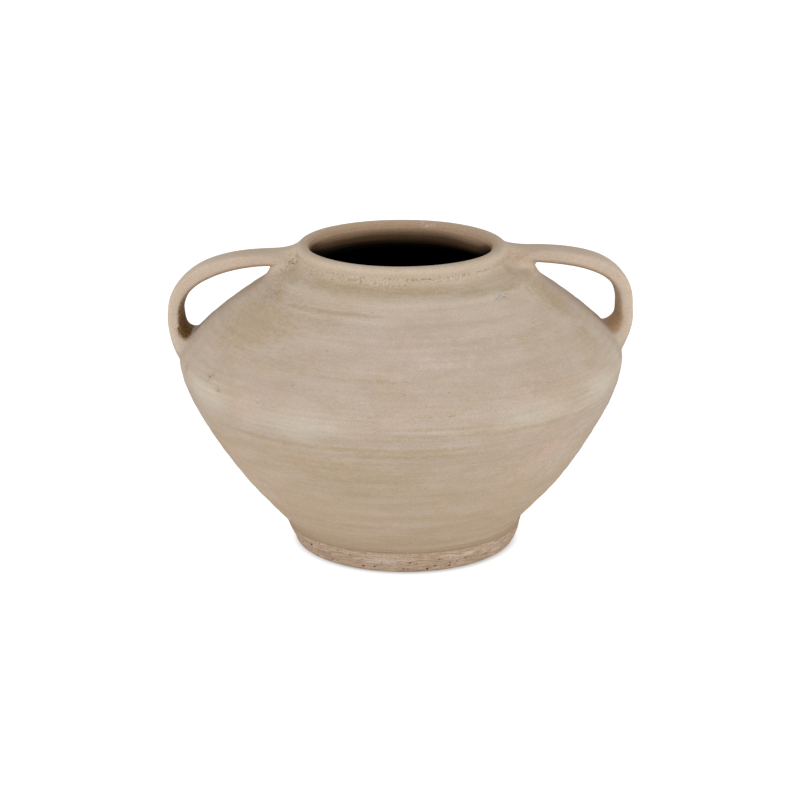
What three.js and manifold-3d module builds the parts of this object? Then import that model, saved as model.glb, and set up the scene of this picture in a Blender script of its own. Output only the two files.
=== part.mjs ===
// A wide two-handled clay jar, put together as a potter builds it: a ring foot, a thrown bowl,
// a shoulder ring, a neck ring with a rolled lip, and two strap handles whose ends are held
// by wads of soft clay. Millimetres, +Z up. The origin is on the axis, on the ground.

import * as THREE from 'three';
import { mergeVertices } from 'three/addons/utils/BufferGeometryUtils.js';
import Module from 'manifold-3d';

const wasm = await Module();
wasm.setup();
const degree = Math.PI / 180;

// Heights, from the ground up
const footHeight = 22;
const bowlRise = 129;
const shoulderRise = 66;
const neckRise = 23;

// Radii, from the ground up
const footRadius = 87.5;
const footFlare = 6.8;
const bellyRadius = 172.4;
const neckFlare = 16.5;
const lipRadius = 80.5;

// Clay thicknesses
const wall = 8;
const floorThickness = 10;
const footWidth = 15;
const footEdgeRound = 3;
const lipRoll = 4.55;
const throatDrop = 18;

// How the wall bends: its slope at each end of a ring, and how far it keeps that slope
const bowlStartAngle = 42.5 * degree;
const bowlStartLead = 46.5;
const belowBellyLead = 28;
const aboveBellyLead = 14.5;
const insideBellyLead = 8;
const neckBaseAngle = 30 * degree;
const neckBaseLead = 28;
const neckCornerLead = 11;
const throatLead = 6;

// Luted seams: the slip layer, and the V ridge that keys one ring into the next
const slipGap = 0.3;
const keyWidth = 4;
const keyDepth = 2;

// Strap handles
const strapWidth = 26;
const strapThickness = 12.5;
const bendThickness = 13.8;
const rootDepth = 9;
const rootRun = 19;
const wadMargin = 1;
const wadSpread = 6;

// Each handle is a little different: heights are measured from the rim and from the belly seam
const rightHandle = {
  turn: 5 * degree,
  belowRim: 9.9,
  riseAngle: -0.7 * degree,
  riseLead: 59,
  reach: 2.2,
  bendAboveBelly: 37.7,
  bendLeadUp: 32,
  bendLeadDown: 7,
  rootAboveBelly: 17,
  rootStandOff: 9.6,
  rootAngle: -109.5 * degree,
  rootLead: 10.9,
  upperWadReach: 22.5,
  upperWadFill: 18,
  lowerWadRise: 4.5,
  lowerWadFill: 12,
};
const leftHandle = {
  turn: 175 * degree,
  belowRim: 13.9,
  riseAngle: 2.8 * degree,
  riseLead: 64,
  reach: 6.1,
  bendAboveBelly: 30.2,
  bendLeadUp: 25.8,
  bendLeadDown: 14,
  rootAboveBelly: 11,
  rootStandOff: 7.4,
  rootAngle: -105 * degree,
  rootLead: 5,
  upperWadReach: 22,
  upperWadFill: 18,
  lowerWadRise: 4,
  lowerWadFill: 12,
};

// Fineness of the mesh
const segmentsAround = 48;
const wallSteps = 9;
const neckSteps = 5;
const strapSides = 12;
const strapSteps = 24;
const wadSteps = 8;

// Heights and corners that follow from the sizes above
const bellyHeight = footHeight + bowlRise;
const neckBaseHeight = bellyHeight + shoulderRise;
const rimHeight = neckBaseHeight + neckRise;
const lipCentre = new THREE.Vector2(lipRadius - lipRoll, rimHeight - lipRoll);

function point(radius, height) {
  return new THREE.Vector2(radius, height);
}

// A point moved a distance along a direction given as an angle above the horizontal
function moved(from, angle, distance) {
  return point(from.x + Math.cos(angle) * distance, from.y + Math.sin(angle) * distance);
}

function curvePoints(start, startControl, endControl, end, steps) {
  return new THREE.CubicBezierCurve(start, startControl, endControl, end).getPoints(steps);
}

// The same line moved sideways, to its right as it is walked, by a distance
function offsetLine(points, distance) {
  return points.map((here, i) => {
    const before = points[Math.max(i - 1, 0)];
    const after = points[Math.min(i + 1, points.length - 1)];
    const along = after.clone().sub(before).normalize();
    return point(here.x + along.y * distance, here.y - along.x * distance);
  });
}

// Radius of a rising line at a height
function radiusAt(points, height) {
  const i = points.findIndex((p, n) => n > 0 && p.y >= height && points[n - 1].y < height);
  const share = (height - points[i - 1].y) / (points[i].y - points[i - 1].y);
  return THREE.MathUtils.lerp(points[i - 1].x, points[i].x, share);
}

// A seam from the inner edge of a wall to its outer edge, with the V key in the middle.
// The V points down the wall, so it is a groove in the lower ring and a ridge on the upper one.
function keyedSeam(inner, outer, wallAngle) {
  const middle = inner.clone().add(outer).multiplyScalar(0.5);
  const half = outer.clone().sub(inner).normalize().multiplyScalar(keyWidth / 2);
  const tip = moved(middle, wallAngle, -keyDepth);
  return [inner, middle.clone().sub(half), tip, middle.clone().add(half), outer];
}

function raised(points, wallAngle) {
  return points.map((p) => moved(p, wallAngle, slipGap));
}

// Outer faces of the four rings
const upright = 90 * degree;
const shoulderEndAngle = 180 * degree - neckBaseAngle;
const footTopOuter = point(footRadius + footFlare, footHeight);
const bellyOuter = point(bellyRadius, bellyHeight);
const neckBaseOuter = point(lipRadius + neckFlare, neckBaseHeight);
const neckTopOuter = moved(lipCentre, -upright / 2, lipRoll);

function footOuterLine() {
  const centre = point(footRadius - footEdgeRound, footEdgeRound);
  const round = [-90, -60, -30, 0].map((angle) => moved(centre, angle * degree, footEdgeRound));
  return [...round, footTopOuter];
}

function bowlOuterLine() {
  const start = point(footTopOuter.x, footTopOuter.y + slipGap);
  const startControl = moved(start, bowlStartAngle, bowlStartLead);
  const endControl = moved(bellyOuter, upright, -belowBellyLead);
  return curvePoints(start, startControl, endControl, bellyOuter, wallSteps);
}

function shoulderOuterLine() {
  const start = moved(bellyOuter, upright, slipGap);
  const endControl = moved(neckBaseOuter, shoulderEndAngle, -neckBaseLead);
  const startControl = moved(start, upright, aboveBellyLead);
  return curvePoints(start, startControl, endControl, neckBaseOuter, wallSteps);
}

function neckOuterLine() {
  const start = moved(neckBaseOuter, shoulderEndAngle, slipGap);
  const startControl = moved(start, shoulderEndAngle, neckCornerLead);
  const endControl = moved(neckTopOuter, upright, -neckCornerLead);
  return curvePoints(start, startControl, endControl, neckTopOuter, neckSteps);
}

// The rolled lip, from its outer side over the crest to its inner side
function lipLine() {
  const angles = [-15, 15, 45, 90, 135, 180];
  return angles.map((angle) => moved(lipCentre, angle * degree, lipRoll));
}

// Rings are turned outlines: up the outer face and down the inner one
function turned(outline) {
  const closed = outline[0].x === 0 ? outline : [...outline, outline[0]];
  const geometry = new THREE.LatheGeometry(closed, segmentsAround);
  geometry.rotateX(Math.PI / 2);
  return geometry;
}

const footInnerRadius = footRadius - footWidth;
const footSeam = keyedSeam(point(footInnerRadius, footHeight), footTopOuter, upright);
const bellySeam = keyedSeam(moved(bellyOuter, 180 * degree, wall), bellyOuter, upright);
const neckBaseInner = moved(neckBaseOuter, shoulderEndAngle + upright, wall);
const neckSeam = keyedSeam(neckBaseInner, neckBaseOuter, shoulderEndAngle);

function footGeometry() {
  const innerEdge = point(footInnerRadius, footEdgeRound);
  const ground = point(footInnerRadius + footEdgeRound, 0);
  return turned([ground, ...footOuterLine().slice(0, -1), ...footSeam.toReversed(), innerEdge]);
}

function bowlGeometry() {
  const floorTop = footHeight + floorThickness;
  const innerFace = offsetLine(bowlOuterLine(), -wall).slice(0, -1);
  const innerLine = [moved(innerFace[0], bowlStartAngle, -wall), ...innerFace];
  const floorEdge = point(radiusAt(innerLine, floorTop), floorTop);
  const innerWall = innerLine.filter((p) => p.y > floorTop).toReversed();
  return turned([
    point(0, footHeight + slipGap),
    ...raised(footSeam, upright).slice(1, -1),
    ...bowlOuterLine().slice(0, -1),
    ...bellySeam.toReversed(),
    ...innerWall,
    floorEdge,
    point(0, floorTop),
  ]);
}

function shoulderGeometry() {
  const seam = raised(bellySeam, upright);
  const startControl = moved(neckBaseInner, shoulderEndAngle, -neckBaseLead);
  const endControl = moved(seam[0], upright, insideBellyLead);
  const innerWall = curvePoints(neckBaseInner, startControl, endControl, seam[0], wallSteps);
  return turned([
    ...seam.slice(0, -1),
    ...shoulderOuterLine().slice(0, -1),
    ...neckSeam.toReversed(),
    ...innerWall.slice(1, -1),
  ]);
}

function neckGeometry() {
  const seam = raised(neckSeam, shoulderEndAngle);
  const throat = point(lipCentre.x - lipRoll, rimHeight - throatDrop);
  const throatControl = moved(throat, upright, -throatLead);
  const endControl = moved(seam[0], shoulderEndAngle, throatLead);
  const flare = curvePoints(throat, throatControl, endControl, seam[0], neckSteps);
  return turned([...seam.slice(0, -1), ...neckOuterLine(), ...lipLine(), ...flare.slice(0, -1)]);
}

// Solids that can be cut
function solidOf(geometry) {
  const bare = new THREE.BufferGeometry();
  bare.setAttribute('position', geometry.attributes.position);
  bare.setIndex(geometry.index);
  const merged = mergeVertices(bare, 1e-4);
  const corners = Array.from(merged.index.array);
  const kept = corners.filter((_, i) => {
    const [a, b, c] = corners.slice(i - (i % 3), i - (i % 3) + 3);
    return a !== b && b !== c && c !== a;
  });
  return new wasm.Manifold(new wasm.Mesh({
    numProp: 3,
    vertProperties: new Float32Array(merged.attributes.position.array),
    triVerts: new Uint32Array(kept),
  }));
}

function geometryOf(solid) {
  const mesh = solid.getMesh();
  const geometry = new THREE.BufferGeometry();
  geometry.setAttribute('position', new THREE.BufferAttribute(mesh.vertProperties, 3));
  geometry.setIndex(new THREE.BufferAttribute(mesh.triVerts, 1));
  geometry.computeVertexNormals();
  return geometry;
}

// The jar's whole outer form, filled in, with the slip layer added: what handle ends are cut to
function jarForm() {
  const outer = [
    ...footOuterLine(), ...bowlOuterLine(), ...shoulderOuterLine(), ...neckOuterLine(), ...lipLine(),
  ];
  const grown = offsetLine(outer.slice(0, -2), slipGap);
  return solidOf(turned([point(0, -slipGap), ...grown, point(0, rimHeight + slipGap)]));
}

// A handle's centre line, drawn on one side of the jar: out from the neck, over and down
function handlePath(handle) {
  const outerLine = [...bowlOuterLine(), ...shoulderOuterLine()];
  const rootHeight = bellyHeight + handle.rootAboveBelly;
  const upper = point(lipRadius, rimHeight - handle.belowRim);
  const bend = point(bellyRadius + handle.reach, bellyHeight + handle.bendAboveBelly);
  const lower = point(radiusAt(outerLine, rootHeight) + handle.rootStandOff, rootHeight);
  const upperEnd = moved(upper, handle.riseAngle, -rootDepth);
  const rootTurn = moved(lower, handle.rootAngle, rootRun / 2);
  const lowerEnd = point(radiusAt(outerLine, rootHeight - rootRun) - rootDepth, rootHeight - rootRun);
  const rise = moved(upper, handle.riseAngle, handle.riseLead);
  const overBend = moved(bend, upright, handle.bendLeadUp);
  const underBend = moved(bend, upright, -handle.bendLeadDown);
  const aboveRoot = moved(lower, handle.rootAngle, -handle.rootLead);
  const path = new THREE.Path();
  path.moveTo(upperEnd.x, upperEnd.y);
  path.lineTo(upper.x, upper.y);
  path.bezierCurveTo(rise.x, rise.y, overBend.x, overBend.y, bend.x, bend.y);
  path.bezierCurveTo(underBend.x, underBend.y, aboveRoot.x, aboveRoot.y, lower.x, lower.y);
  path.quadraticCurveTo(rootTurn.x, rootTurn.y, lowerEnd.x, lowerEnd.y);
  return path;
}

// Half sizes of the strap's oval section at a share of its length: inner face, outer face, edges
function strapSection(share) {
  const bend = Math.sin(Math.PI * share) ** 2;
  const half = THREE.MathUtils.lerp(strapThickness, bendThickness, bend) / 2;
  return { inner: half, outer: half, edge: strapWidth / 2 };
}

// An oval bar bent along a path between two shares of its length
function bentBar(path, from, to, steps, sectionAt) {
  const bar = new THREE.CylinderGeometry(1, 1, 1, strapSides, steps);
  const corners = bar.attributes.position;
  for (let i = 0; i < corners.count; i += 1) {
    const share = THREE.MathUtils.lerp(from, to, corners.getY(i) + 0.5);
    const centre = path.getPoint(share);
    const along = path.getTangent(share);
    const section = sectionAt(share);
    const side = corners.getX(i);
    const across = side * (side > 0 ? section.inner : section.outer);
    const edge = corners.getZ(i) * section.edge;
    corners.setXYZ(i, centre.x + along.y * across, -edge, centre.y - along.x * across);
  }
  return solidOf(bar);
}

function grownSection(section, by) {
  return { inner: section.inner + by, outer: section.outer + by, edge: section.edge + by };
}

// A wad hugs the strap with a thin margin where it ends, spreads over the wall at the root,
// and fills the crook between the strap and the wall
function wadSection(share, tip, root, fill) {
  const spread = THREE.MathUtils.clamp((tip - share) / (tip - root), 0, 1) ** 2;
  const section = grownSection(strapSection(share), wadMargin + slipGap);
  return {
    inner: section.inner + fill,
    outer: section.outer + wadMargin * spread,
    edge: section.edge + wadSpread * spread,
  };
}

function handleParts(handle) {
  const path = handlePath(handle);
  const length = path.getLength();
  const form = jarForm().rotate([0, 0, -handle.turn / degree]);
  const strap = bentBar(path, 0, 1, strapSteps, strapSection);
  const sleeve = bentBar(path, 0, 1, strapSteps, (share) =>
    grownSection(strapSection(share), slipGap));
  const upperTip = (rootDepth + handle.upperWadReach) / length;
  const upperRoot = rootDepth / length;
  const lowerTip = 1 - (rootRun + handle.lowerWadRise) / length;
  const lowerRoot = 1 - rootDepth / length;
  const upperWad = bentBar(path, 0, upperTip, wadSteps, (share) =>
    wadSection(share, upperTip, upperRoot, handle.upperWadFill));
  const lowerWad = bentBar(path, lowerTip, 1, wadSteps, (share) =>
    wadSection(share, lowerTip, lowerRoot, handle.lowerWadFill));
  return {
    handle: geometryOf(strap.subtract(form)),
    upperWad: geometryOf(upperWad.subtract(sleeve).subtract(form)),
    lowerWad: geometryOf(lowerWad.subtract(sleeve).subtract(form)),
  };
}

// Fired clay: each piece in its own shade of the same body
function clay(color) {
  return new THREE.MeshStandardMaterial({ color, roughness: 0.92, metalness: 0 });
}

function piece(name, geometry, color) {
  const mesh = new THREE.Mesh(geometry, clay(color));
  mesh.name = name;
  return mesh;
}

function handleGroup(side, handle) {
  const parts = handleParts(handle);
  const group = new THREE.Group();
  group.rotation.z = handle.turn;
  group.add(piece(`${side}_handle`, parts.handle, 0xc1af9d));
  group.add(piece(`${side}_upper_wad`, parts.upperWad, 0xb5a48a));
  group.add(piece(`${side}_lower_wad`, parts.lowerWad, 0xb8a68e));
  return group;
}

const jar = new THREE.Group();
jar.add(piece('foot', footGeometry(), 0xae9782));
jar.add(piece('lower_bowl', bowlGeometry(), 0xb6a489));
jar.add(piece('shoulder', shoulderGeometry(), 0xbcac9b));
jar.add(piece('neck', neckGeometry(), 0xc2b3a1));
jar.add(handleGroup('left', leftHandle));
jar.add(handleGroup('right', rightHandle));

export default jar;
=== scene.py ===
# %% [markdown]
# A wide two-handled clay jar, dressed for its picture.
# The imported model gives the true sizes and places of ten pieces: foot, bowl, shoulder, neck,
# two straps and four wads. This lesson keeps every one of them as its own piece and gives it
# the surface that a hand, a wheel and a kiln leave: a wall that is a little out of round,
# faint throwing rings, a raw foot with pits, and handles that melt into the wall.

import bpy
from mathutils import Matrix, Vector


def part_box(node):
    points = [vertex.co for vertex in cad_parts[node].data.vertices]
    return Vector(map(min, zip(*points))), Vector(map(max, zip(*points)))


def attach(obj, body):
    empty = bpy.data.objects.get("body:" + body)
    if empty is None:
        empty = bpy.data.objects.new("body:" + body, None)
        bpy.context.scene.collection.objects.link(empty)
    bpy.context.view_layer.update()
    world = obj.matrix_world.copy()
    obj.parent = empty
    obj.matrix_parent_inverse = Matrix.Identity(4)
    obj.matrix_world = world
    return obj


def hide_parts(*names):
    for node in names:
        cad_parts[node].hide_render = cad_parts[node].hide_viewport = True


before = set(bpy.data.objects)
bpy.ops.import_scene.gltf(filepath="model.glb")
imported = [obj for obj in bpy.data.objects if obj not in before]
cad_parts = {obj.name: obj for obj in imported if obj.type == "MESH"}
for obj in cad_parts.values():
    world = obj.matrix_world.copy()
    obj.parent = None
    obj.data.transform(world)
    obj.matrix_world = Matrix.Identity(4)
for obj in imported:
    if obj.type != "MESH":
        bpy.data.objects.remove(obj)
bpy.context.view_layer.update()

# %% Tools for this lesson
import math

import bpy
import numpy as np
from mathutils import Vector

scene = bpy.context.scene
rng = np.random.default_rng(7)
MM = 0.001

# %% [markdown]
# The camera stands where the photographer stood, a little above the rim and tilted down by
# about seventeen degrees, so that the mouth shows as a thin ellipse. A long lens from almost
# two metres keeps the sides of the jar nearly parallel. The camera is made first, because
# every later choice is judged through it.

# %% Camera
LOOK_AT = Vector((-0.0023, 0.0, 0.1124))
CAMERA_DISTANCE = 1.891
CAMERA_RISE = math.radians(17.4)
LENS_LENGTH = 108
SENSOR_WIDTH = 36

camera_data = bpy.data.cameras.new("photographers_camera")
camera_data.lens = LENS_LENGTH
camera_data.sensor_width = SENSOR_WIDTH
camera = bpy.data.objects.new("photographers_camera", camera_data)
back_from_jar = Vector((0, -math.cos(CAMERA_RISE), math.sin(CAMERA_RISE)))
camera.location = LOOK_AT + back_from_jar * CAMERA_DISTANCE
camera.rotation_euler = (math.pi / 2 - CAMERA_RISE, 0, 0)
scene.collection.objects.link(camera)
scene.camera = camera
print("camera at", [round(v, 3) for v in camera.location])

# %% [markdown]
# A jar thrown on a wheel is a line turned round an axis, so the whole outer face is drawn
# once, as one line of radius and height: the side of the foot, the bowl, the shoulder, the
# short neck and the rolled lip. A lathe modifier could turn it, but then the wall would be
# perfectly round. Here the line is kept as numbers, and every piece asks it for points, so
# two neighbours always agree about where their shared edge lies.

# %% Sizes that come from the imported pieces
foot_low, foot_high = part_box("foot")
bowl_low, bowl_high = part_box("lower_bowl")
shoulder_low, shoulder_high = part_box("shoulder")
neck_low, neck_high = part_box("neck")
lows = (foot_low, bowl_low, shoulder_low, neck_low)
print("pieces start at", [round(low.z, 4) for low in lows])

FOOT_TOP = foot_high.z
FOOT_TOP_RADIUS = foot_high.x
BELLY_HEIGHT = bowl_high.z
BELLY_RADIUS = bowl_high.x
NECK_BASE_HEIGHT = shoulder_high.z
RIM_HEIGHT = neck_high.z
NECK_BASE_RADIUS = 97 * MM
LIP_RADIUS = 80.5 * MM
LIP_ROLL = 4.55 * MM
WALL = 8 * MM
FLOOR_THICKNESS = 10 * MM
FOOT_WIDTH = 15 * MM
FOOT_FLARE = 6.8 * MM
FOOT_EDGE_ROUND = 3.8 * MM
THROAT_DROP = 18 * MM
KEY_WIDTH = 4 * MM
KEY_DEPTH = 2 * MM
print("belly", round(BELLY_RADIUS, 4), "at", round(BELLY_HEIGHT, 4), "rim", round(RIM_HEIGHT, 4))


# %% Points and curves in radius and height
def spot(radius, height):
    return np.array([radius, height])


def walk(start, degrees, distance):
    """A point moved a distance in a direction, given as an angle above the horizontal."""
    turn = math.radians(degrees)
    return start + distance * np.array([math.cos(turn), math.sin(turn)])


def unit(vectors):
    """The same directions, each made one long."""
    return vectors / np.linalg.norm(vectors, axis=-1, keepdims=True)


def bend(start, start_control, end_control, end, steps):
    """Points, or whole rings of points, along a cubic curve, both ends included."""
    t = np.linspace(0, 1, steps + 1).reshape(-1, *[1] * np.ndim(start))
    return (
        (1 - t) ** 3 * start
        + 3 * (1 - t) ** 2 * t * start_control
        + 3 * (1 - t) * t**2 * end_control
        + t**3 * end
    )


def arc(centre, radius, from_degrees, to_degrees, steps):
    turn = np.radians(np.linspace(from_degrees, to_degrees, steps + 1))
    return centre + radius * np.stack([np.cos(turn), np.sin(turn)], axis=-1)


def running_length(points):
    steps = np.linalg.norm(np.diff(points, axis=0), axis=-1)
    return np.concatenate([[0], np.cumsum(steps)])


def side_normals(points):
    """Unit vectors to the right of a line as it is walked: outwards, if it goes up."""
    along = unit(np.gradient(points, axis=0))
    return np.stack([along[:, 1], -along[:, 0]], axis=-1)


# %% The outer line, from the ground to the inside of the lip
BOWL_SLOPE = 42.5
BOWL_LEAD = 46.5 * MM
BELLY_LEADS = (28 * MM, 14.5 * MM)
NECK_SLOPE = 150
NECK_LEADS = (28 * MM, 11 * MM)
LIP_START = -12
LIP_LEAD = 11 * MM

foot_edge_centre = spot(FOOT_TOP_RADIUS - FOOT_FLARE - FOOT_EDGE_ROUND, FOOT_EDGE_ROUND)
foot_edge = arc(foot_edge_centre, FOOT_EDGE_ROUND, -90, 0, 12)
foot_top = spot(FOOT_TOP_RADIUS, FOOT_TOP)
belly = spot(BELLY_RADIUS, BELLY_HEIGHT)
neck_base = spot(NECK_BASE_RADIUS, NECK_BASE_HEIGHT)
lip_centre = spot(LIP_RADIUS - LIP_ROLL, RIM_HEIGHT - LIP_ROLL)
lip_start = walk(lip_centre, LIP_START, LIP_ROLL)

above_foot = walk(foot_top, BOWL_SLOPE, BOWL_LEAD)
below_belly = walk(belly, 90, -BELLY_LEADS[0])
above_belly = walk(belly, 90, BELLY_LEADS[1])
below_neck_base = walk(neck_base, NECK_SLOPE, -NECK_LEADS[0])
above_neck_base = walk(neck_base, NECK_SLOPE, NECK_LEADS[1])
under_lip = walk(lip_start, LIP_START + 90, -LIP_LEAD)
stretches = {
    "foot_edge": foot_edge,
    "foot": np.linspace(foot_edge[-1], foot_top, 60),
    "bowl": bend(foot_top, above_foot, below_belly, belly, 400),
    "shoulder": bend(belly, above_belly, below_neck_base, neck_base, 300),
    "neck": bend(neck_base, above_neck_base, under_lip, lip_start, 100),
    "lip": arc(lip_centre, LIP_ROLL, LIP_START, 180, 60),
}
outer_line = stretches["foot_edge"]
ends = {"foot_edge": running_length(outer_line)[-1]}
for name in ("foot", "bowl", "shoulder", "neck", "lip"):
    outer_line = np.concatenate([outer_line, stretches[name][1:]])
    ends[name] = running_length(outer_line)[-1]
outer_length = running_length(outer_line)
outer_normal = side_normals(outer_line)
print("outer line", len(outer_line), "points,", round(ends["lip"], 4), "m long")


def line_at(length):
    """Radius, height and outward normal at a distance along the outer line."""
    pairs = [outer_line[:, 0], outer_line[:, 1], outer_normal[:, 0], outer_normal[:, 1]]
    return [np.interp(length, outer_length, values) for values in pairs]


def length_at_height(height):
    """Distance along the outer line where the wall first reaches a height."""
    rising = slice(0, int(np.argmax(outer_line[:, 1])) + 1)
    return np.interp(height, outer_line[rising, 1], outer_length[rising])


# %% [markdown]
# No thrown wall is a true circle. Three things make this one look handmade. The axis wanders
# a millimetre or two from foot to rim, and the girth pulls in above the foot, because the
# sections were joined by eye. The wall is slightly oval and lumpy. And the fingers leave
# shallow rings that drift round the pot. The lumps and rings are sums of a few waves with
# fixed phases, so every run gives the same jar. They only ever cut into the wall where it
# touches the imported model's box.

# %% Where the axis wanders and the girth changes
# Heights with the axis's shift, then heights with the change of radius, all in millimetres.
AXIS_WANDERS = (
    (0, 1.4), (6, 1.9), (19, 0.7), (27, -0.6), (60, -0.2),
    (115, -1.1), (148, -1.6), (169, 0.5), (214, 1.2), (240, -0.9),
)
GIRTH_CHANGES = (
    (0, 0), (12, 0.8), (19, 0.1), (27, -2.3), (38, -2.4),
    (62, -1.0), (100, -0.7), (125, 0), (228, 0), (236, 0.8),
)
print("the axis shifts by up to", max(abs(shift) for _, shift in AXIS_WANDERS), "mm")


def smooth_between(height, pairs):
    """A value that eases from each pair of height and amount, in millimetres, to the next."""
    levels, amounts = np.array(pairs, float).T * MM
    place = np.clip(np.searchsorted(levels, height, side="right") - 1, 0, len(levels) - 2)
    share = np.clip((height - levels[place]) / (levels[place + 1] - levels[place]), 0, 1)
    return amounts[place] + (amounts[place + 1] - amounts[place]) * share**2 * (3 - 2 * share)


def axis_shift(height):
    """How far the middle of the jar lies from the axis at a height."""
    return smooth_between(height, AXIS_WANDERS)


# %% Throwing rings and lumps
# Spacing, depth, drift and start of each set of rings.
RINGS = (
    (14.5 * MM, 0.08 * MM, 0.9, 0.1),
    (8.3 * MM, 0.05 * MM, 1.3, 2.8),
    (3.9 * MM, 0.02 * MM, 2.1, 4.4),
)
# How many lumps go round the jar, their depth, climb and start.
LUMPS = (
    (2, 0.26 * MM, 9.0, 0.4),
    (3, 0.2 * MM, -14.0, 1.9),
    (5, 0.12 * MM, 21.0, 3.1),
    (9, 0.06 * MM, -33.0, 5.2),
)
MOST_LUMP = sum(lump[1] for lump in LUMPS) + sum(ring[1] for ring in RINGS)
LEDGE_HEIGHT = 17.7 * MM
CALM_SHARE = 0.25
CALM_ABOVE_LEDGE = 12 * MM
CALM_BELOW_LIP = 8 * MM
SIDE_BELT = 45 * MM
GROUND_BELT = 4 * MM
GROUND_SHARE = 0.3
print("rings and lumps reach", round(MOST_LUMP / MM, 2), "mm")


def hill(distance, width):
    return np.exp(-((distance / width) ** 2))


def free_lumps(turn, length, height):
    """Rings and lumps, calmer near the foot and lip, and cut in where the box is tight."""
    rings = 0
    for spacing, depth, drift, start in RINGS:
        phase = start + drift * np.sin(turn + start)
        rings = rings + depth * np.sin(2 * np.pi * length / spacing + phase)
    lumps = 0
    for count, depth, climb, start in LUMPS:
        lumps = lumps + depth * np.sin(count * turn + climb * height + start)
    free = rings + lumps
    calm_foot = np.clip((height - LEDGE_HEIGHT) / CALM_ABOVE_LEDGE, 0, 1)
    calm_lip = np.clip((ends["neck"] - length) / CALM_BELOW_LIP, 0, 1)
    for calm in (calm_foot, calm_lip):
        free = free * (CALM_SHARE + (1 - CALM_SHARE) * calm)
    at_sides = np.sin(turn) ** 4 * hill(height - BELLY_HEIGHT, SIDE_BELT)
    return free - MOST_LUMP * (at_sides + GROUND_SHARE * hill(height, GROUND_BELT))


# %% The belly seam, the slip's edge and the swell of the lip
SEAM_DEPTH = 0.12 * MM
SEAM_WIDTH = 0.6 * MM
SEAM_WAVES = (3, 7, 11, 17)
SEAM_START = 1.3
SEAM_SWING = 0.35
LEDGE_DIP = 1.2 * MM
LEDGE_DEPTH = 0.35 * MM
LEDGE_WIDTH = 0.55 * MM
SLIP_COAT = 0.2 * MM
LIP_SWELL = 1.4 * MM
LIP_SWELL_TO_RIGHT = 1.2 * MM
LIP_CREST = ends["neck"] + LIP_ROLL * math.radians(90 - LIP_START)


def seam_shows(turn):
    """From 0 to 1 round the jar, for a seam that comes and goes."""
    waves = sum(np.sin(k * turn + SEAM_START * (k + 1)) for k in SEAM_WAVES)
    return np.clip(0.5 + SEAM_SWING * waves, 0, 1)


def ledge_at(turn):
    """Height of the edge where the slip ends on the foot: lower at the sides."""
    return LEDGE_HEIGHT - LEDGE_DIP * np.cos(2 * turn)


def lip_swells(turn):
    """How much thicker the lip is on its inner side: more over the right handle."""
    return LIP_SWELL + LIP_SWELL_TO_RIGHT * np.cos(turn)


print("slip ends", round(ledge_at(0.0) / MM, 1), "mm up at the sides")


# %% Any point of the outer face
def lumps_at(turn, length, height):
    """How far the wall stands out from its true line."""
    seam = SEAM_DEPTH * seam_shows(turn) * hill(length - ends["bowl"], SEAM_WIDTH)
    ledge = LEDGE_DEPTH * hill(height - ledge_at(turn), LEDGE_WIDTH)
    below_slip = SLIP_COAT * np.clip((ledge_at(turn) - height) / MM, 0, 1)
    on_outside = length < ends["neck"]
    return free_lumps(turn, length, height) - (seam + ledge + below_slip) * on_outside


def points_at(across, deep, height):
    """Points from their three measures, each of them a row, a column or a whole grid."""
    return np.stack(np.broadcast_arrays(across, deep, height), axis=-1)


def wall_at(turn, length, lift=0.0):
    """Points on the outer face, at an angle round the jar and a distance along its line."""
    radius, height, out, up = line_at(length)
    stand = lumps_at(turn, length, height) + lift
    radius = radius + smooth_between(height, GIRTH_CHANGES) + out * stand
    over_lip = np.clip((length - LIP_CREST) / (ends["lip"] - LIP_CREST), 0, 1)
    radius = radius - lip_swells(turn) * np.sin(over_lip * np.pi / 2) ** 2
    height = np.clip(height + up * stand, 0, RIM_HEIGHT)
    return points_at(radius * np.cos(turn) + axis_shift(height), radius * np.sin(turn), height)


print("right side of the belly", np.round(wall_at(0.0, ends["bowl"]), 4))

# %% [markdown]
# Every piece becomes a grid of points: columns go round, rows go along. One function turns a
# grid into a closed mesh, with square faces between neighbours and a fan of triangles where
# an end has to be capped. It measures the volume and turns the faces round if they point
# inwards, so a piece is always a proper solid. Sharp edges are kept only where two faces
# meet at a real corner.

# %% From a grid of points to a closed piece
SHARP_ANGLE = math.radians(50)


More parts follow.
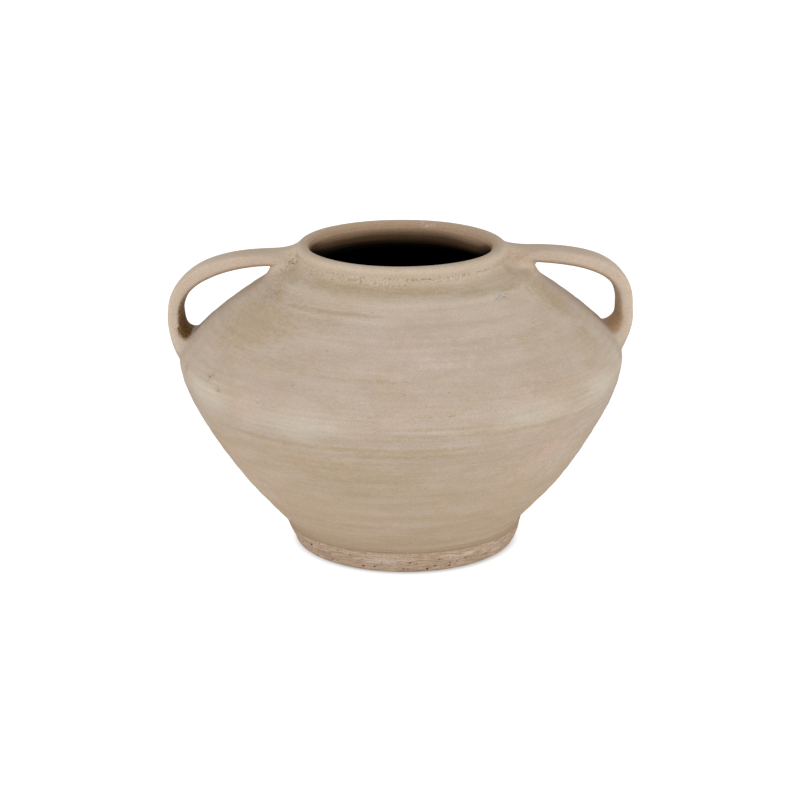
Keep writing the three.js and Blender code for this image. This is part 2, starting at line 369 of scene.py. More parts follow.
def solid_piece(name, grid, bands=None, closed=True):
    """A closed mesh from rows of points that go round. Open ends are capped by a fan."""
    rows, columns, _ = grid.shape
    number = np.arange(rows * columns).reshape(rows, columns)
    low = number if closed else number[:-1]
    high = np.roll(number, -1, axis=0) if closed else number[1:]
    quads = np.stack([low, np.roll(low, -1, axis=1), np.roll(high, -1, axis=1), high], axis=-1)
    quads = quads.reshape(-1, 4)
    faces = quads.tolist()
    band_numbers = [] if bands is None else np.repeat(bands, columns).tolist()
    points = grid.reshape(-1, 3)
    if not closed:
        middles = np.stack([grid[0].mean(axis=0), grid[-1].mean(axis=0)])
        first, last = len(points), len(points) + 1
        points = np.concatenate([points, middles])
        begin, finish = number[0], number[-1]
        faces += [[first, b, a] for a, b in zip(begin, np.roll(begin, -1))]
        faces += [[last, a, b] for a, b in zip(finish, np.roll(finish, -1))]
        if band_numbers:
            band_numbers += [int(bands[0])] * columns + [int(bands[-1])] * columns
    corners = np.concatenate([quads[:, [0, 1, 2]], quads[:, [0, 2, 3]]])
    a, b, c = (points[corners[:, i]] for i in range(3))
    if np.einsum("ij,ij->i", a, np.cross(b, c)).sum() < 0:
        faces = [face[::-1] for face in faces]
    mesh = bpy.data.meshes.new(name)
    mesh.from_pydata(points.tolist(), [], faces)
    mesh.shade_smooth()
    mesh.set_sharp_from_angle(angle=SHARP_ANGLE)
    if band_numbers:
        mesh.polygons.foreach_set("material_index", band_numbers)
    mesh.validate()
    piece = bpy.data.objects.new(name, mesh)
    scene.collection.objects.link(piece)
    print(name, len(points), "points", len(faces), "faces")
    return piece


# %% [markdown]
# The four rings are foot, bowl, shoulder and neck. Each is a closed outline: up the outer
# face, across the seam with its V key, down the inside and back across the lower seam. The
# outer rows are close together, because that is what the eye sees, and they are closer still
# at the belly seam and on the foot, where scratches and pits are less than a millimetre wide.

# %% Rows of points round the jar
COLUMNS = 360
FOOT_COLUMNS = 900
FOOT_STEP = 0.55 * MM
LIP_STEP = 0.9 * MM
OUTER_STEP = 1.25 * MM
FINE_STEP = 0.5 * MM
FINE_REACH = 3 * MM
INNER_STEP = 6 * MM
print(COLUMNS, "columns round the jar,", FOOT_COLUMNS, "on the foot")


def round_the_jar(columns):
    return np.linspace(0, 2 * np.pi, columns, endpoint=False)[None, :]


def outer_rows(start, end, step, columns=COLUMNS, dents=None, fine_ends=False):
    """Rows on the outer face between two distances along its line."""
    lengths = np.linspace(start, end, max(int(round((end - start) / step)), 1) + 1)
    if fine_ends:
        between = lengths[(lengths > start + FINE_REACH) & (lengths < end - FINE_REACH)]
        fine = np.linspace(0, FINE_REACH, int(FINE_REACH / FINE_STEP), endpoint=False)
        lengths = np.concatenate([start + fine, between, end - fine[::-1]])
    lengths = lengths[:, None]
    turn = round_the_jar(columns)
    lift = 0.0 if dents is None else dents(turn, line_at(lengths)[1])
    return wall_at(turn, lengths, lift)


def plain_rows(outline, columns=COLUMNS):
    """Rows turned from a plain outline that still follow the wandering axis."""
    radius, height = outline[:, 0, None], outline[:, 1, None]
    turn = round_the_jar(columns)
    return points_at(radius * np.cos(turn) + axis_shift(height), radius * np.sin(turn), height)


# %% Seams, and lines inside the wall
def keyed_seam(inner, outer, wall_degrees):
    """The inside of a seam: a V groove in the lower ring that holds a ridge of the upper."""
    middle = (inner + outer) / 2
    half = unit(outer - inner) * KEY_WIDTH / 2
    tip = walk(middle, wall_degrees, -KEY_DEPTH)
    return np.array([inner, middle - half, tip, middle + half])


def beside(points, distance):
    """The same line moved inwards through the wall."""
    return points - side_normals(points) * distance


def thinned(points, step):
    """Fewer points along a line, its ends kept."""
    length = running_length(points)
    wanted = np.linspace(0, length[-1], max(int(round(length[-1] / step)), 2) + 1)
    return np.stack([np.interp(wanted, length, points[:, i]) for i in (0, 1)], axis=-1)


foot_inner_radius = FOOT_TOP_RADIUS - FOOT_FLARE - FOOT_WIDTH
foot_seam = keyed_seam(spot(foot_inner_radius, FOOT_TOP), foot_top, 90)
belly_seam = keyed_seam(walk(belly, 180, WALL), belly, 90)
neck_inner_base = walk(neck_base, NECK_SLOPE + 90, WALL)
neck_seam = keyed_seam(neck_inner_base, neck_base, NECK_SLOPE)
print("wall at the belly", round(np.linalg.norm(belly_seam[0] - belly) / MM, 1), "mm")

# %% [markdown]
# The foot ring is the only raw clay on the jar. Where it was trimmed, the tool dragged bits
# of grit out and left pits, some round and some torn along the direction of turning. A bump
# texture would vanish at the outline, so the pits are pressed into the mesh itself. Their
# depth is also stored on the mesh, and the clay's colour later goes dark where a pit is deep:
# painted shade in the hollow.

# %% Pits of the foot
# Turn in degrees, height and size in millimetres, and how far the tool dragged the pit out.
PITS_SEEN = (
    (-142.6, 11.6, 0.95, 1.0), (-110.5, 4.5, 0.75, 1.3), (-104.4, 5.3, 0.75, 1.5),
    (-86.8, 10.1, 0.7, 1.2), (-77.7, 3.5, 0.95, 1.2), (-73.8, 5.9, 0.6, 2.6),
    (-66.1, 4.6, 0.75, 1.2), (-44.7, 7.4, 0.75, 1.3), (-31.9, 10.3, 0.65, 1.2),
    (-58.0, 9.5, 0.5, 2.4), (-89.7, 3.7, 0.6, 1.0), (-129.0, 10.2, 0.5, 1.2),
    (-151.7, 9.3, 0.6, 1.0),
)
# How many more pits there are, and the least and most of their height, size and drag.
STRAY_PITS = 130
STRAY_HEIGHTS = (1.0, 18.0)
STRAY_SIZES = (0.22, 0.5)
STRAY_DRAGS = (1.0, 3.0)
# How deep and how wide a pit is for its size, and the fine lines of the trimming tool.
PIT_DEPTH = 0.9
PIT_SPREAD = 1.25
TOOL_DEPTH = 0.06 * MM
TOOL_SPACING = 0.9 * MM
TOOL_SWAY = 1.5
DENTS_FADE = 2 * MM
FOOT_MEAN_RADIUS = FOOT_TOP_RADIUS - FOOT_FLARE / 2

pits = []
for turn, height, size, drag in PITS_SEEN:
    pits.append((math.radians(turn), height * MM, size * MM, drag))
for _ in range(STRAY_PITS):
    turn = rng.uniform(0, 2 * np.pi)
    height = rng.uniform(*STRAY_HEIGHTS) * MM
    size = rng.uniform(*STRAY_SIZES) * MM
    pits.append((turn, height, size, rng.uniform(*STRAY_DRAGS)))
print(len(pits), "pits on the foot")


def pit_depth(turn, height):
    """How deep the pits go, in metres, at points of the foot's side."""
    deep = np.zeros(np.broadcast_shapes(turn.shape, height.shape))
    for at, up, size, drag in pits:
        across = (turn - at + np.pi) % (2 * np.pi) - np.pi
        near = np.hypot(across * FOOT_MEAN_RADIUS / drag, height - up) / size
        deep = np.maximum(deep, size * PIT_DEPTH * np.clip(PIT_SPREAD - near**2, 0, 1))
    return deep


def foot_dents(turn, height):
    """The pits and the trimming tool's fine lines, as far as the raw clay goes up."""
    tool_lines = TOOL_DEPTH * np.sin(height / TOOL_SPACING + TOOL_SWAY * np.sin(2 * turn))
    fade = np.clip((ledge_at(turn) - height) / DENTS_FADE, 0, 1)
    return -(pit_depth(turn, height) + tool_lines) * fade


# %% Outlines of the foot and the bowl
FLOOR_MIDDLE = 4 * MM
BELOW_FOOT_SEAM = 1 * MM


def painted_shade_bands(rows, first, seam_rows=0):
    """Which bands of faces take the black painted shade: 1 from a row on, and 0 again on the last
    seam.
    """
    bands = (np.arange(rows) >= first).astype(int)
    bands[rows - seam_rows :] = 0
    return bands


def foot_grid():
    outer = outer_rows(0, ends["foot"], FOOT_STEP, FOOT_COLUMNS, foot_dents)
    inner_centre = spot(foot_inner_radius + FOOT_EDGE_ROUND, FOOT_EDGE_ROUND)
    inner_edge = arc(inner_centre, FOOT_EDGE_ROUND, 180, 270, 6)
    side_top = spot(foot_inner_radius, FOOT_TOP - BELOW_FOOT_SEAM)
    inner_side = np.linspace(side_top, inner_edge[0], 4)
    inside = np.concatenate([foot_seam[::-1], inner_side[:-1], inner_edge])
    return np.concatenate([outer, plain_rows(inside, FOOT_COLUMNS)])


def bowl_grid():
    outer = outer_rows(ends["foot"], ends["bowl"], OUTER_STEP, fine_ends=True)
    floor_top = FOOT_TOP + FLOOR_THICKNESS
    inner_wall = beside(stretches["bowl"], WALL)
    inner_wall = thinned(inner_wall[inner_wall[:, 1] > floor_top][:-1], INNER_STEP)[::-1]
    floor = np.linspace(spot(inner_wall[-1][0], floor_top), spot(FLOOR_MIDDLE, floor_top), 9)
    under = np.linspace(spot(FLOOR_MIDDLE, FOOT_TOP), foot_seam[0], 7)
    bottom = plain_rows(np.concatenate([under, foot_seam[1:]]))
    top = plain_rows(np.concatenate([belly_seam[::-1], inner_wall, floor]))
    grid = np.concatenate([bottom, outer, top])
    first_shaded = len(bottom) + len(outer) + len(belly_seam)
    return grid, painted_shade_bands(len(grid) - 1, first_shaded)


# %% Outlines of the shoulder and the neck
INNER_BELLY_LEAD = 8 * MM
THROAT_LEAD = 6 * MM


def shoulder_grid():
    outer = outer_rows(ends["bowl"], ends["shoulder"], OUTER_STEP, fine_ends=True)
    below_neck = walk(neck_inner_base, NECK_SLOPE, -NECK_LEADS[0])
    over_seam = walk(belly_seam[0], 90, INNER_BELLY_LEAD)
    inner_wall = bend(neck_inner_base, below_neck, over_seam, belly_seam[0], 200)
    inside = [neck_seam[:0:-1], thinned(inner_wall, INNER_STEP), belly_seam[1:]]
    grid = np.concatenate([outer, plain_rows(np.concatenate(inside))])
    first_shaded = len(outer) + len(neck_seam) - 1
    return grid, painted_shade_bands(len(grid), first_shaded, len(belly_seam))


def neck_grid():
    outer = outer_rows(ends["shoulder"], ends["lip"], LIP_STEP)
    throat = spot(lip_centre[0] - LIP_ROLL, RIM_HEIGHT - THROAT_DROP)
    side = np.linspace(walk(lip_centre, 180, LIP_ROLL), throat, 16)[1:]
    below_throat = walk(throat, 90, -THROAT_LEAD)
    over_seam = walk(neck_seam[0], NECK_SLOPE, THROAT_LEAD)
    flare = bend(throat, below_throat, over_seam, neck_seam[0], 8)
    inside = plain_rows(np.concatenate([side, flare[1:], neck_seam[1:]]))
    below_side = np.arange(len(inside)) - len(side)
    swollen = np.clip(1 - below_side / (len(flare) - 2), 0, 1)[:, None]
    turn = round_the_jar(COLUMNS)
    inside[..., 0] -= swollen * lip_swells(turn) * np.cos(turn)
    inside[..., 1] -= swollen * lip_swells(turn) * np.sin(turn)
    grid = np.concatenate([outer, inside])
    return grid, painted_shade_bands(len(grid), len(outer) + len(side), len(neck_seam))


# %% Build the four rings
foot_piece = solid_piece("turned_foot", foot_grid())
bowl_piece = solid_piece("thrown_bowl", *bowl_grid(), closed=False)
shoulder_piece = solid_piece("thrown_shoulder", *shoulder_grid())
neck_piece = solid_piece("thrown_neck", *neck_grid())
wall_pieces = (bowl_piece, shoulder_piece, neck_piece)

# %% [markdown]
# A strap handle is pulled, not thrown: a wet tongue of clay is stroked thin, stuck on under
# the lip, bent over and pressed to the belly. Its middle line is drawn in the upright plane
# of the handle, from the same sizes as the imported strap, and a rounded section is carried
# along it. The section changes on the way: thin at the neck, thicker over the bend, wide
# where it was pressed on. A curve with a bevel could do it, but could not change its section.

# %% Measures of the two handles
# Angles are in degrees and lengths in millimetres. Thickness and half width are given at
# five even steps along a strap. A print is where a wad ends on the wall: two limits and a
# half width. Leads say how far its fillet runs along the strap, then along the wall, at
# the strap's outer face, its edges and its inner face.
HANDLES = {
    "right": {
        "turn": 5,
        "below_rim": 9.9,
        "rise_angle": -0.7,
        "rise_lead": 59,
        "reach": 1.5,
        "bend_above_belly": 37.7,
        "bend_leads": (33.2, 7),
        "root_above_belly": 17,
        "root_stand_off": 9.6,
        "root_angle": -109.5,
        "root_lead": 10.9,
        "thickness": (10.8, 12.2, 13.2, 11.6, 15.0),
        "half_width": (13.5, 13.0, 13.0, 13.5, 18.5),
        "upper_ring": 24,
        "lower_ring_above_belly": 30.5,
        "upper_print": (60, 111.5, 25),
        "lower_print": (149.5, 173, 26),
        "upper_leads": ((9, 12, 5), (4, 15, 6)),
        "lower_leads": ((17, 8, 6), (4, 5, 1.5)),
    },
    "left": {
        "turn": 175,
        "below_rim": 13.9,
        "rise_angle": 2.8,
        "rise_lead": 64,
        "reach": 6.3,
        "bend_above_belly": 30.2,
        "bend_leads": (27.4, 14),
        "root_above_belly": 11,
        "root_stand_off": 7.4,
        "root_angle": -105,
        "root_lead": 5,
        "thickness": (12.6, 11.7, 13.6, 10.9, 16.0),
        "half_width": (13.5, 13.0, 10.8, 11.5, 21.0),
        "upper_ring": 24,
        "lower_ring_above_belly": 20,
        "upper_print": (55, 112.5, 25),
        "lower_print": (142, 167.5, 31),
        "upper_leads": ((16, 12, 3), (3.5, 15, 4)),
        "lower_leads": ((24, 7, 5.5), (1, 5, 4.5)),
    },
}
print("handles", list(HANDLES))

# %% The middle line of a strap
ROOT_DEPTH = 9 * MM
ROOT_RUN = 19 * MM
LINE_STEP = 0.5 * MM


def strap_line(handle):
    """The middle line of a strap, in radius and height, with an even step."""
    neck_end = spot(LIP_RADIUS, RIM_HEIGHT - handle["below_rim"] * MM)
    over_height = BELLY_HEIGHT + handle["bend_above_belly"] * MM
    over = spot(BELLY_RADIUS + handle["reach"] * MM, over_height)
    root_height = BELLY_HEIGHT + handle["root_above_belly"] * MM
    wall_radius = line_at(length_at_height(root_height))[0]
    root = spot(wall_radius + handle["root_stand_off"] * MM, root_height)
    lead_up, lead_down = handle["bend_leads"]
    rise = walk(neck_end, handle["rise_angle"], handle["rise_lead"] * MM)
    inside = walk(neck_end, handle["rise_angle"], -ROOT_DEPTH)
    out = np.linspace(inside, neck_end, 10)
    across = bend(neck_end, rise, walk(over, 90, lead_up * MM), over, 200)
    above_root = walk(root, handle["root_angle"], -handle["root_lead"] * MM)
    down = bend(over, walk(over, 90, -lead_down * MM), above_root, root, 100)
    end = walk(root, handle["root_angle"], ROOT_RUN)
    press = np.linspace(root, end, 10)
    return thinned(np.concatenate([out, across[1:], down[1:], press[1:]]), LINE_STEP)


for side_name, handle in HANDLES.items():
    line_length = running_length(strap_line(handle))[-1]
    print(side_name, "strap runs", round(line_length, 4), "m")


# %% The section of a strap
SECTION_COLUMNS = 96
# How square the section is at the five steps. An ellipse would be 2.
SECTION_POWERS = (2.6, 2.8, 3.2, 3.8, 2.3)
PULL_MARKS = 0.12 * MM
PULL_RIDGES = 3
PULL_TWIST = 9
AROUND = np.linspace(0, 2 * np.pi, SECTION_COLUMNS, endpoint=False)


def handle_turn(handle):
    """The handle's angle round the jar, and which of its sides faces the front."""
    turn = math.radians(handle["turn"])
    return turn, -1 if math.cos(turn) > 0 else 1


def strap_rings(handle, line, lengths, shrink=0.0):
    """Rings of the strap's section at distances along its middle line."""
    length = running_length(line)
    along = unit(np.gradient(line, axis=0))
    at = [np.interp(lengths, length, column) for column in (*line.T, *along.T)]
    radius, height, along_out, along_up = (value[:, None] for value in at)
    share = lengths / length[-1]
    stations = np.linspace(0, 1, len(SECTION_POWERS))
    half_thick = np.interp(share, stations, handle["thickness"])[:, None] * MM / 2 - shrink
    half_wide = np.interp(share, stations, handle["half_width"])[:, None] * MM - shrink
    round_off = 2 / np.interp(share, stations, SECTION_POWERS)[:, None]
    c, s = np.cos(AROUND), np.sin(AROUND)
    outwards = half_thick * np.sign(c) * np.abs(c) ** round_off
    if shrink == 0:
        ridges = np.sin(PULL_RIDGES * AROUND + PULL_TWIST * share[:, None])
        outwards = outwards + PULL_MARKS * ridges * np.abs(c)
    turn, front_side = handle_turn(handle)
    sideways = half_wide * np.sign(s) * np.abs(s) ** round_off * front_side
    in_radius = radius - along_up * outwards
    across = in_radius * math.cos(turn) - sideways * math.sin(turn)
    deep = in_radius * math.sin(turn) + sideways * math.cos(turn)
    return points_at(across, deep, height + along_out * outwards)


# %% [markdown]
# Where a strap meets the wall, the potter works a wad of soft clay round it with a thumb.
# That wad is what gives the smooth fillet, and also the thin web under the upper end. Here
# it is a loft: each point of a ring on the strap is joined to a point of a footprint on the
# wall by a curve that leaves along the strap and arrives flat against the wall. Merging
# everything with a remesh would be quicker, but would melt the separate pieces into one.

# %% Where a wad ends on the wall
def footprint(handle, top, bottom, half_width, scale, outer_face):
    """Angle round the jar and distance along its line of a ring on the wall."""
    c = outer_face * np.cos(AROUND)
    middle, reach = (top + bottom) / 2, (top - bottom) / 2
    length = middle + scale * reach * c
    radius = line_at(middle + reach * c)[0]
    turn, front_side = handle_turn(handle)
    return turn + front_side * scale * half_width * np.sin(AROUND) / radius, length


def neck_print(handle, scale):
    """The ring of an upper wad: from the lip's side down to the shoulder."""
    lip_degrees, low_radius, half_width = handle["upper_print"]
    top = ends["neck"] + LIP_ROLL * math.radians(lip_degrees - LIP_START)
    radius, height = stretches["shoulder"].T
    bottom = length_at_height(np.interp(-low_radius * MM, -radius, height))
    return footprint(handle, top, bottom, half_width * MM, scale, 1)


def root_print(handle, scale):
    """The ring of a lower wad, between two heights on the wall."""
    low, high, half_width = handle["lower_print"]
    bottom, top = (length_at_height(level * MM) for level in (low, high))
    return footprint(handle, top, bottom, half_width * MM, scale, -1)


# %% Wads that join a strap to the wall
LOFT_ROWS = 26
UNDER_ROWS = 7
TENON_SHOULDER = 1.2 * MM
TENON_SHARE = 0.42
FEATHER = 0.04 * MM
JUST_INSIDE = 0.97


def by_side(lengths):
    """A blend of three lengths: at the strap's outer face, its edges and its inner face."""
    outer, edge, inner = (value * MM for value in lengths)
    c = np.cos(AROUND)
    return (edge + np.where(c > 0, (outer - edge) * c**2, (inner - edge) * c**2))[:, None]


def wad_loft(handle, ring, ring_inner, direction, leads, print_at):
    """Closed rows of a wad: along the fillet, back under it and up the tenon's side."""
    strap_lead, wall_lead = (by_side(lengths) for lengths in leads)
    edge = wall_at(*print_at(handle, 1.0), FEATHER)
    inner_edge = wall_at(*print_at(handle, JUST_INSIDE), FEATHER)
    off_strap = ring + direction * strap_lead
    off_wall = edge - unit(edge - inner_edge) * wall_lead
    fillet = bend(ring, off_strap, off_wall, edge, LOFT_ROWS - 1)
    scales = np.linspace(1.0, TENON_SHARE, UNDER_ROWS)
    under = np.stack([wall_at(*print_at(handle, scale)) for scale in scales])
    return np.concatenate([fillet, under, ring_inner[None]])


# %% Build the straps and their wads
STRAP_STEP = 1.2 * MM


def build_handle(side_name, handle):
    """The strap, the upper wad and the lower wad of one handle."""
    line = strap_line(handle)
    length = running_length(line)
    upper_at = ROOT_DEPTH + handle["upper_ring"] * MM
    falling = line[:, 1] < BELLY_HEIGHT + handle["lower_ring_above_belly"] * MM
    lower_at = length[int(np.argmax(falling & (length > length[-1] / 2)))]
    steps = int((lower_at - upper_at) / STRAP_STEP)
    shown = strap_rings(handle, line, np.linspace(upper_at, lower_at, steps))
    inner = strap_rings(handle, line, np.array([upper_at, lower_at]), TENON_SHOULDER)
    tenons = [wall_at(*print_at(handle, TENON_SHARE)) for print_at in (neck_print, root_print)]
    rows = [tenons[0][None], inner[:1], shown, inner[1:], tenons[1][None]]
    strap = solid_piece(f"{side_name}_strap", np.concatenate(rows), closed=False)
    into_neck = unit(shown[0] - shown[1])
    into_root = unit(shown[-1] - shown[-2])
    upper = wad_loft(handle, shown[0], inner[0], into_neck, handle["upper_leads"], neck_print)
    lower = wad_loft(handle, shown[-1], inner[1], into_root, handle["lower_leads"], root_print)
    upper_wad = solid_piece(f"{side_name}_neck_wad", upper)
    return strap, upper_wad, solid_piece(f"{side_name}_root_wad", lower)


handle_pieces = {name: build_handle(name, handle) for name, handle in HANDLES.items()}
clay_of_handles = [piece for pieces in handle_pieces.values() for piece in pieces]

# %% [markdown]
# Colour comes next. Fired clay has no single colour: the slip that the potter brushed on is
# pale where it is thick, the fire leaves ochre and pinkish clouds, and the brush leaves fine
# lines that run round the pot. Each of these is a small effect of its own. An effect that
# several finishes share is built once as a node group, and each finish sets its own values.

# %% Small helpers for shader nodes
def tone(red, green, blue):
    """A colour given by its screen values, as the linear colour that shaders use."""
    share = np.array([red, green, blue]) / 255
    linear = np.where(share <= 0.04045, share / 12.92, ((share + 0.055) / 1.055) ** 2.4)
    return (*linear.tolist(), 1.0)


def add(tree, kind, settings=None, inputs=None):
    """A new node with its settings, its input values and its links."""
    made = tree.nodes.new(kind)
    for name, value in (settings or {}).items():
        setattr(made, name, value)
    for name, value in (inputs or {}).items():
        socket = made.inputs[name]
        if isinstance(value, bpy.types.NodeSocket):
            tree.links.new(value, socket)
        else:
            socket.default_value = value
    return made


def calc(tree, operation, *values):
    """The result of one Math node."""
    settings = {"operation": operation}
    return add(tree, "ShaderNodeMath", settings, dict(enumerate(values))).outputs[0]


def vector_calc(tree, operation, *values):
    """The result of one Vector Math node."""
    settings = {"operation": operation}
    return add(tree, "ShaderNodeVectorMath", settings, dict(enumerate(values))).outputs[0]


def share_of(tree, value, *amounts):
    """A value made smaller by each of the amounts in turn."""
    for amount in amounts:
        value = calc(tree, "MULTIPLY", value, amount)
    return value


def swing(tree, value, amount, middle):
    """A value from 0 to 1 made to swing about a middle, as far as the amount says."""
    return calc(tree, "MULTIPLY_ADD", calc(tree, "SUBTRACT", value, 0.5), amount, middle)


def ramp_value(tree, value, low, high, to_low=0.0, to_high=1.0):
    """A value taken smoothly from one range to another."""
    inputs = {0: value, 1: low, 2: high, 3: to_low, 4: to_high}
    settings = {"interpolation_type": "SMOOTHSTEP"}
    return add(tree, "ShaderNodeMapRange", settings, inputs).outputs[0]


# %% Helpers for noise and layers of colour
def noise(tree, place, scale=1.0, detail=2.0, roughness=0.5):
    inputs = {"Vector": place, "Scale": scale, "Detail": detail, "Roughness": roughness}
    return add(tree, "ShaderNodeTexNoise", {"noise_dimensions": "3D"}, inputs).outputs[0]


def height_of(tree, place):
    return add(tree, "ShaderNodeSeparateXYZ", {}, {0: place}).outputs[2]


def layer(tree, share, under, over):
    """One colour laid over another by a share."""
    inputs = {0: share, 6: under, 7: over}
    return add(tree, "ShaderNodeMix", {"data_type": "RGBA"}, inputs).outputs[2]


def lay(tree, colour, over, share, *amounts):
    """Another colour laid over the colour so far, by a share that the amounts make smaller."""
    return layer(tree, share_of(tree, share, *amounts), colour, over)


def lighten(tree, colour, value, amount):
    """The colour made lighter or darker by a value that runs from 0 to 1."""
    inputs = {0: colour, "Scale": swing(tree, value, amount, 1.0)}
    return add(tree, "ShaderNodeVectorMath", {"operation": "SCALE"}, inputs).outputs[0]


def colour_scale(tree, value, levels):
    """Colours laid along a value from 0 to 1, each at its own level."""
    ramp = add(tree, "ShaderNodeValToRGB", {}, {0: value})
    stops = ramp.color_ramp.elements
    while len(stops) < len(levels):
        stops.new(1.0)
    for number, (level, shade) in enumerate(levels):
        stops[number].position = level
        stops[number].color = tone(*shade)
    return ramp.outputs[0]


# %% Helpers for shared effects
def new_effect(name, takes):
    """An empty node group with a place and named values going in, and one value coming out."""
    tree = bpy.data.node_groups.new(name, "ShaderNodeTree")
    face = tree.interface
    face.new_socket(name="Place", in_out="INPUT", socket_type="NodeSocketVector")
    for label, value in takes.items():
        socket = face.new_socket(name=label, in_out="INPUT", socket_type="NodeSocketFloat")
        socket.default_value = value
    face.new_socket(name="Value", in_out="OUTPUT", socket_type="NodeSocketFloat")
    return tree, tree.nodes.new("NodeGroupInput").outputs


def give_out(tree, value):
    """Ends an effect: the value leaves through the group's output."""
    result = tree.nodes.new("NodeGroupOutput")
    tree.links.new(value, result.inputs[0])
    print("effect", tree.name, "of", len(tree.nodes), "nodes")


def use(tree, effect, place, **values):
    """An effect placed in a finish with that finish's own values."""
    node = add(tree, "ShaderNodeGroup", {"node_tree": effect}, {"Place": place})
    for label, value in values.items():
        node.inputs[label.title()].default_value = value
    return node.outputs[0]


# %% Effect: fine lines left by the brush and the wheel
throwing_lines, given = new_effect("throwing_lines", {"Spacing": 0.003, "Run": 0.12})
run, spacing = given["Run"], given["Spacing"]
line_size = add(throwing_lines, "ShaderNodeCombineXYZ", {}, {0: run, 1: run, 2: spacing})
stretched = vector_calc(throwing_lines, "DIVIDE", given["Place"], line_size.outputs[0])
give_out(throwing_lines, noise(throwing_lines, stretched, detail=3.0, roughness=0.6))

# %% Effect: soft clouds of another shade
clouds, given = new_effect("clouds", {"Spacing": 0.05, "Cover": 0.5, "Edge": 0.15})
cloud_scale = calc(clouds, "DIVIDE", 1.0, given["Spacing"])
cloud_noise = noise(clouds, given["Place"], cloud_scale, detail=4.0, roughness=0.55)
threshold = calc(clouds, "SUBTRACT", 1.0, given["Cover"])
cloud_low = calc(clouds, "SUBTRACT", threshold, given["Edge"])
cloud_high = calc(clouds, "ADD", threshold, given["Edge"])
give_out(clouds, ramp_value(clouds, cloud_noise, cloud_low, cloud_high))

# %% Effect: specks of grit
SPECK_CORE = 0.4
specks, given = new_effect("specks", {"Spacing": 0.01, "Size": 0.001, "Share": 0.3})
speck_scale = calc(specks, "DIVIDE", 1.0, given["Spacing"])
cells = add(specks, "ShaderNodeTexVoronoi", {}, {"Vector": given["Place"], "Scale": speck_scale})
reach = calc(specks, "MULTIPLY", cells.outputs["Distance"], given["Spacing"])
core = calc(specks, "MULTIPLY", given["Size"], SPECK_CORE)
near_centre = ramp_value(specks, reach, core, given["Size"], 1.0, 0.0)
cell_number = add(specks, "ShaderNodeSeparateColor", {}, {0: cells.outputs["Color"]}).outputs[0]
chosen = calc(specks, "LESS_THAN", cell_number, given["Share"])
give_out(specks, share_of(specks, near_centre, chosen))

# %% Effect: a thin line at one height that comes and goes
LINE_CORE = 0.3
GAP_EDGE = 0.12
LINE_NUMBERS = {"Height": 0.15, "Width": 0.001, "Waver": 0.001, "Gaps": 0.5}
ring_line, given = new_effect("ring_line", LINE_NUMBERS)
flat_place = vector_calc(ring_line, "MULTIPLY", given["Place"], (1.0, 1.0, 0.0))
waver_noise = noise(ring_line, flat_place, scale=14.0)
wavered = swing(ring_line, waver_noise, given["Waver"], height_of(ring_line, given["Place"]))
off_line = calc(ring_line, "ABSOLUTE", calc(ring_line, "SUBTRACT", wavered, given["Height"]))
line_core = calc(ring_line, "MULTIPLY", given["Width"], LINE_CORE)
on_line = ramp_value(ring_line, off_line, line_core, given["Width"], 1.0, 0.0)
gap_noise = noise(ring_line, flat_place, scale=55.0, detail=3.0, roughness=0.7)
gap_high = calc(ring_line, "ADD", given["Gaps"], GAP_EDGE)
present = ramp_value(ring_line, gap_noise, given["Gaps"], gap_high)
give_out(ring_line, share_of(ring_line, on_line, present))

# %% Effect: the fine tooth of unglazed clay
clay_tooth, given = new_effect("clay_tooth", {"Spacing": 0.0012})
tooth_scale = calc(clay_tooth, "DIVIDE", 1.0, given["Spacing"])
give_out(clay_tooth, noise(clay_tooth, given["Place"], tooth_scale, detail=5.0, roughness=0.65))

# %% [markdown]
# The slip finish is one recipe for the wall, the wads and the straps. Its base is a ramp by
# height: browner low down, greyer round the belly and palest under the neck, where the pale
# stop is painted light that lifts the shade of the corner. Clouds, brush lines and grain go
# over it, and then the marks that belong to this very jar: olive rings where the slip ran
# thin, pinkish and greenish clouds from the fire, smudges of soot, and a little painted shade
# and painted light among them. Their places are stored on the meshes, and noise breaks their
# edges up here, so that no mark looks stamped on. A pot is matt all over, so the roughness is
# high, and the bump is only a fine tooth.

# %% The slip's colours by height
SLIP_BY_HEIGHT = (
    (22, (186, 166, 143)),
    (32, (196, 176, 153)),
    (108, (184, 166, 147)),
    (131, (182, 167, 152)),
    (160, (184, 168, 152)),
    (204, (195, 179, 163)),
    # The stop at 216 mm is painted light that lifts the shade of the corner under the neck.
    (216, (203, 187, 170)),
    (224, (188, 172, 151)),
    (234, (195, 179, 161)),
)
# The throat's colours by depth are painted shade: from the clay near the lip to black where the
# cavity opens.
THROAT_SHADE_BY_DEPTH = (
    (0.0, (192, 168, 144)),
    (0.42, (180, 151, 124)),
    (0.67, (100, 77, 55)),
    (0.9, (44, 31, 19)),
    (1.0, (1, 1, 1)),
)
STRAP_CLAY = tone(198, 180, 162)
OCHRE = tone(166, 145, 108)
BLUSH = tone(194, 162, 138)
BLOOM = tone(199, 192, 176)
SOOT = tone(96, 78, 56)
# Painted shade of the crooks, partly a real stain.
STAIN_AND_SHADE = tone(94, 66, 30)
RUST = tone(132, 102, 80)
# Warm painted shade on the straps' undersides and round the crooks.
WARM_PAINTED_SHADE = tone(170, 134, 96)
LILAC = tone(206, 190, 180)
CHALK = tone(216, 206, 196)
MIDDLE_GREY = (0.5, 0.5, 0.5, 1.0)
HEIGHT_WAVERS = 9 * MM


def height_ramp(tree, place):
    """The slip's base colour, by a height that wavers a little."""
    waver = noise(tree, place, scale=22.0, detail=3.0, roughness=0.6)
    height = swing(tree, waver, HEIGHT_WAVERS, height_of(tree, place))
    share = add(tree, "ShaderNodeMapRange", {}, {0: height, 1: 0.0, 2: RIM_HEIGHT}).outputs[0]
    levels = [(level * MM / RIM_HEIGHT, colour) for level, colour in SLIP_BY_HEIGHT]
    return colour_scale(tree, share, levels)


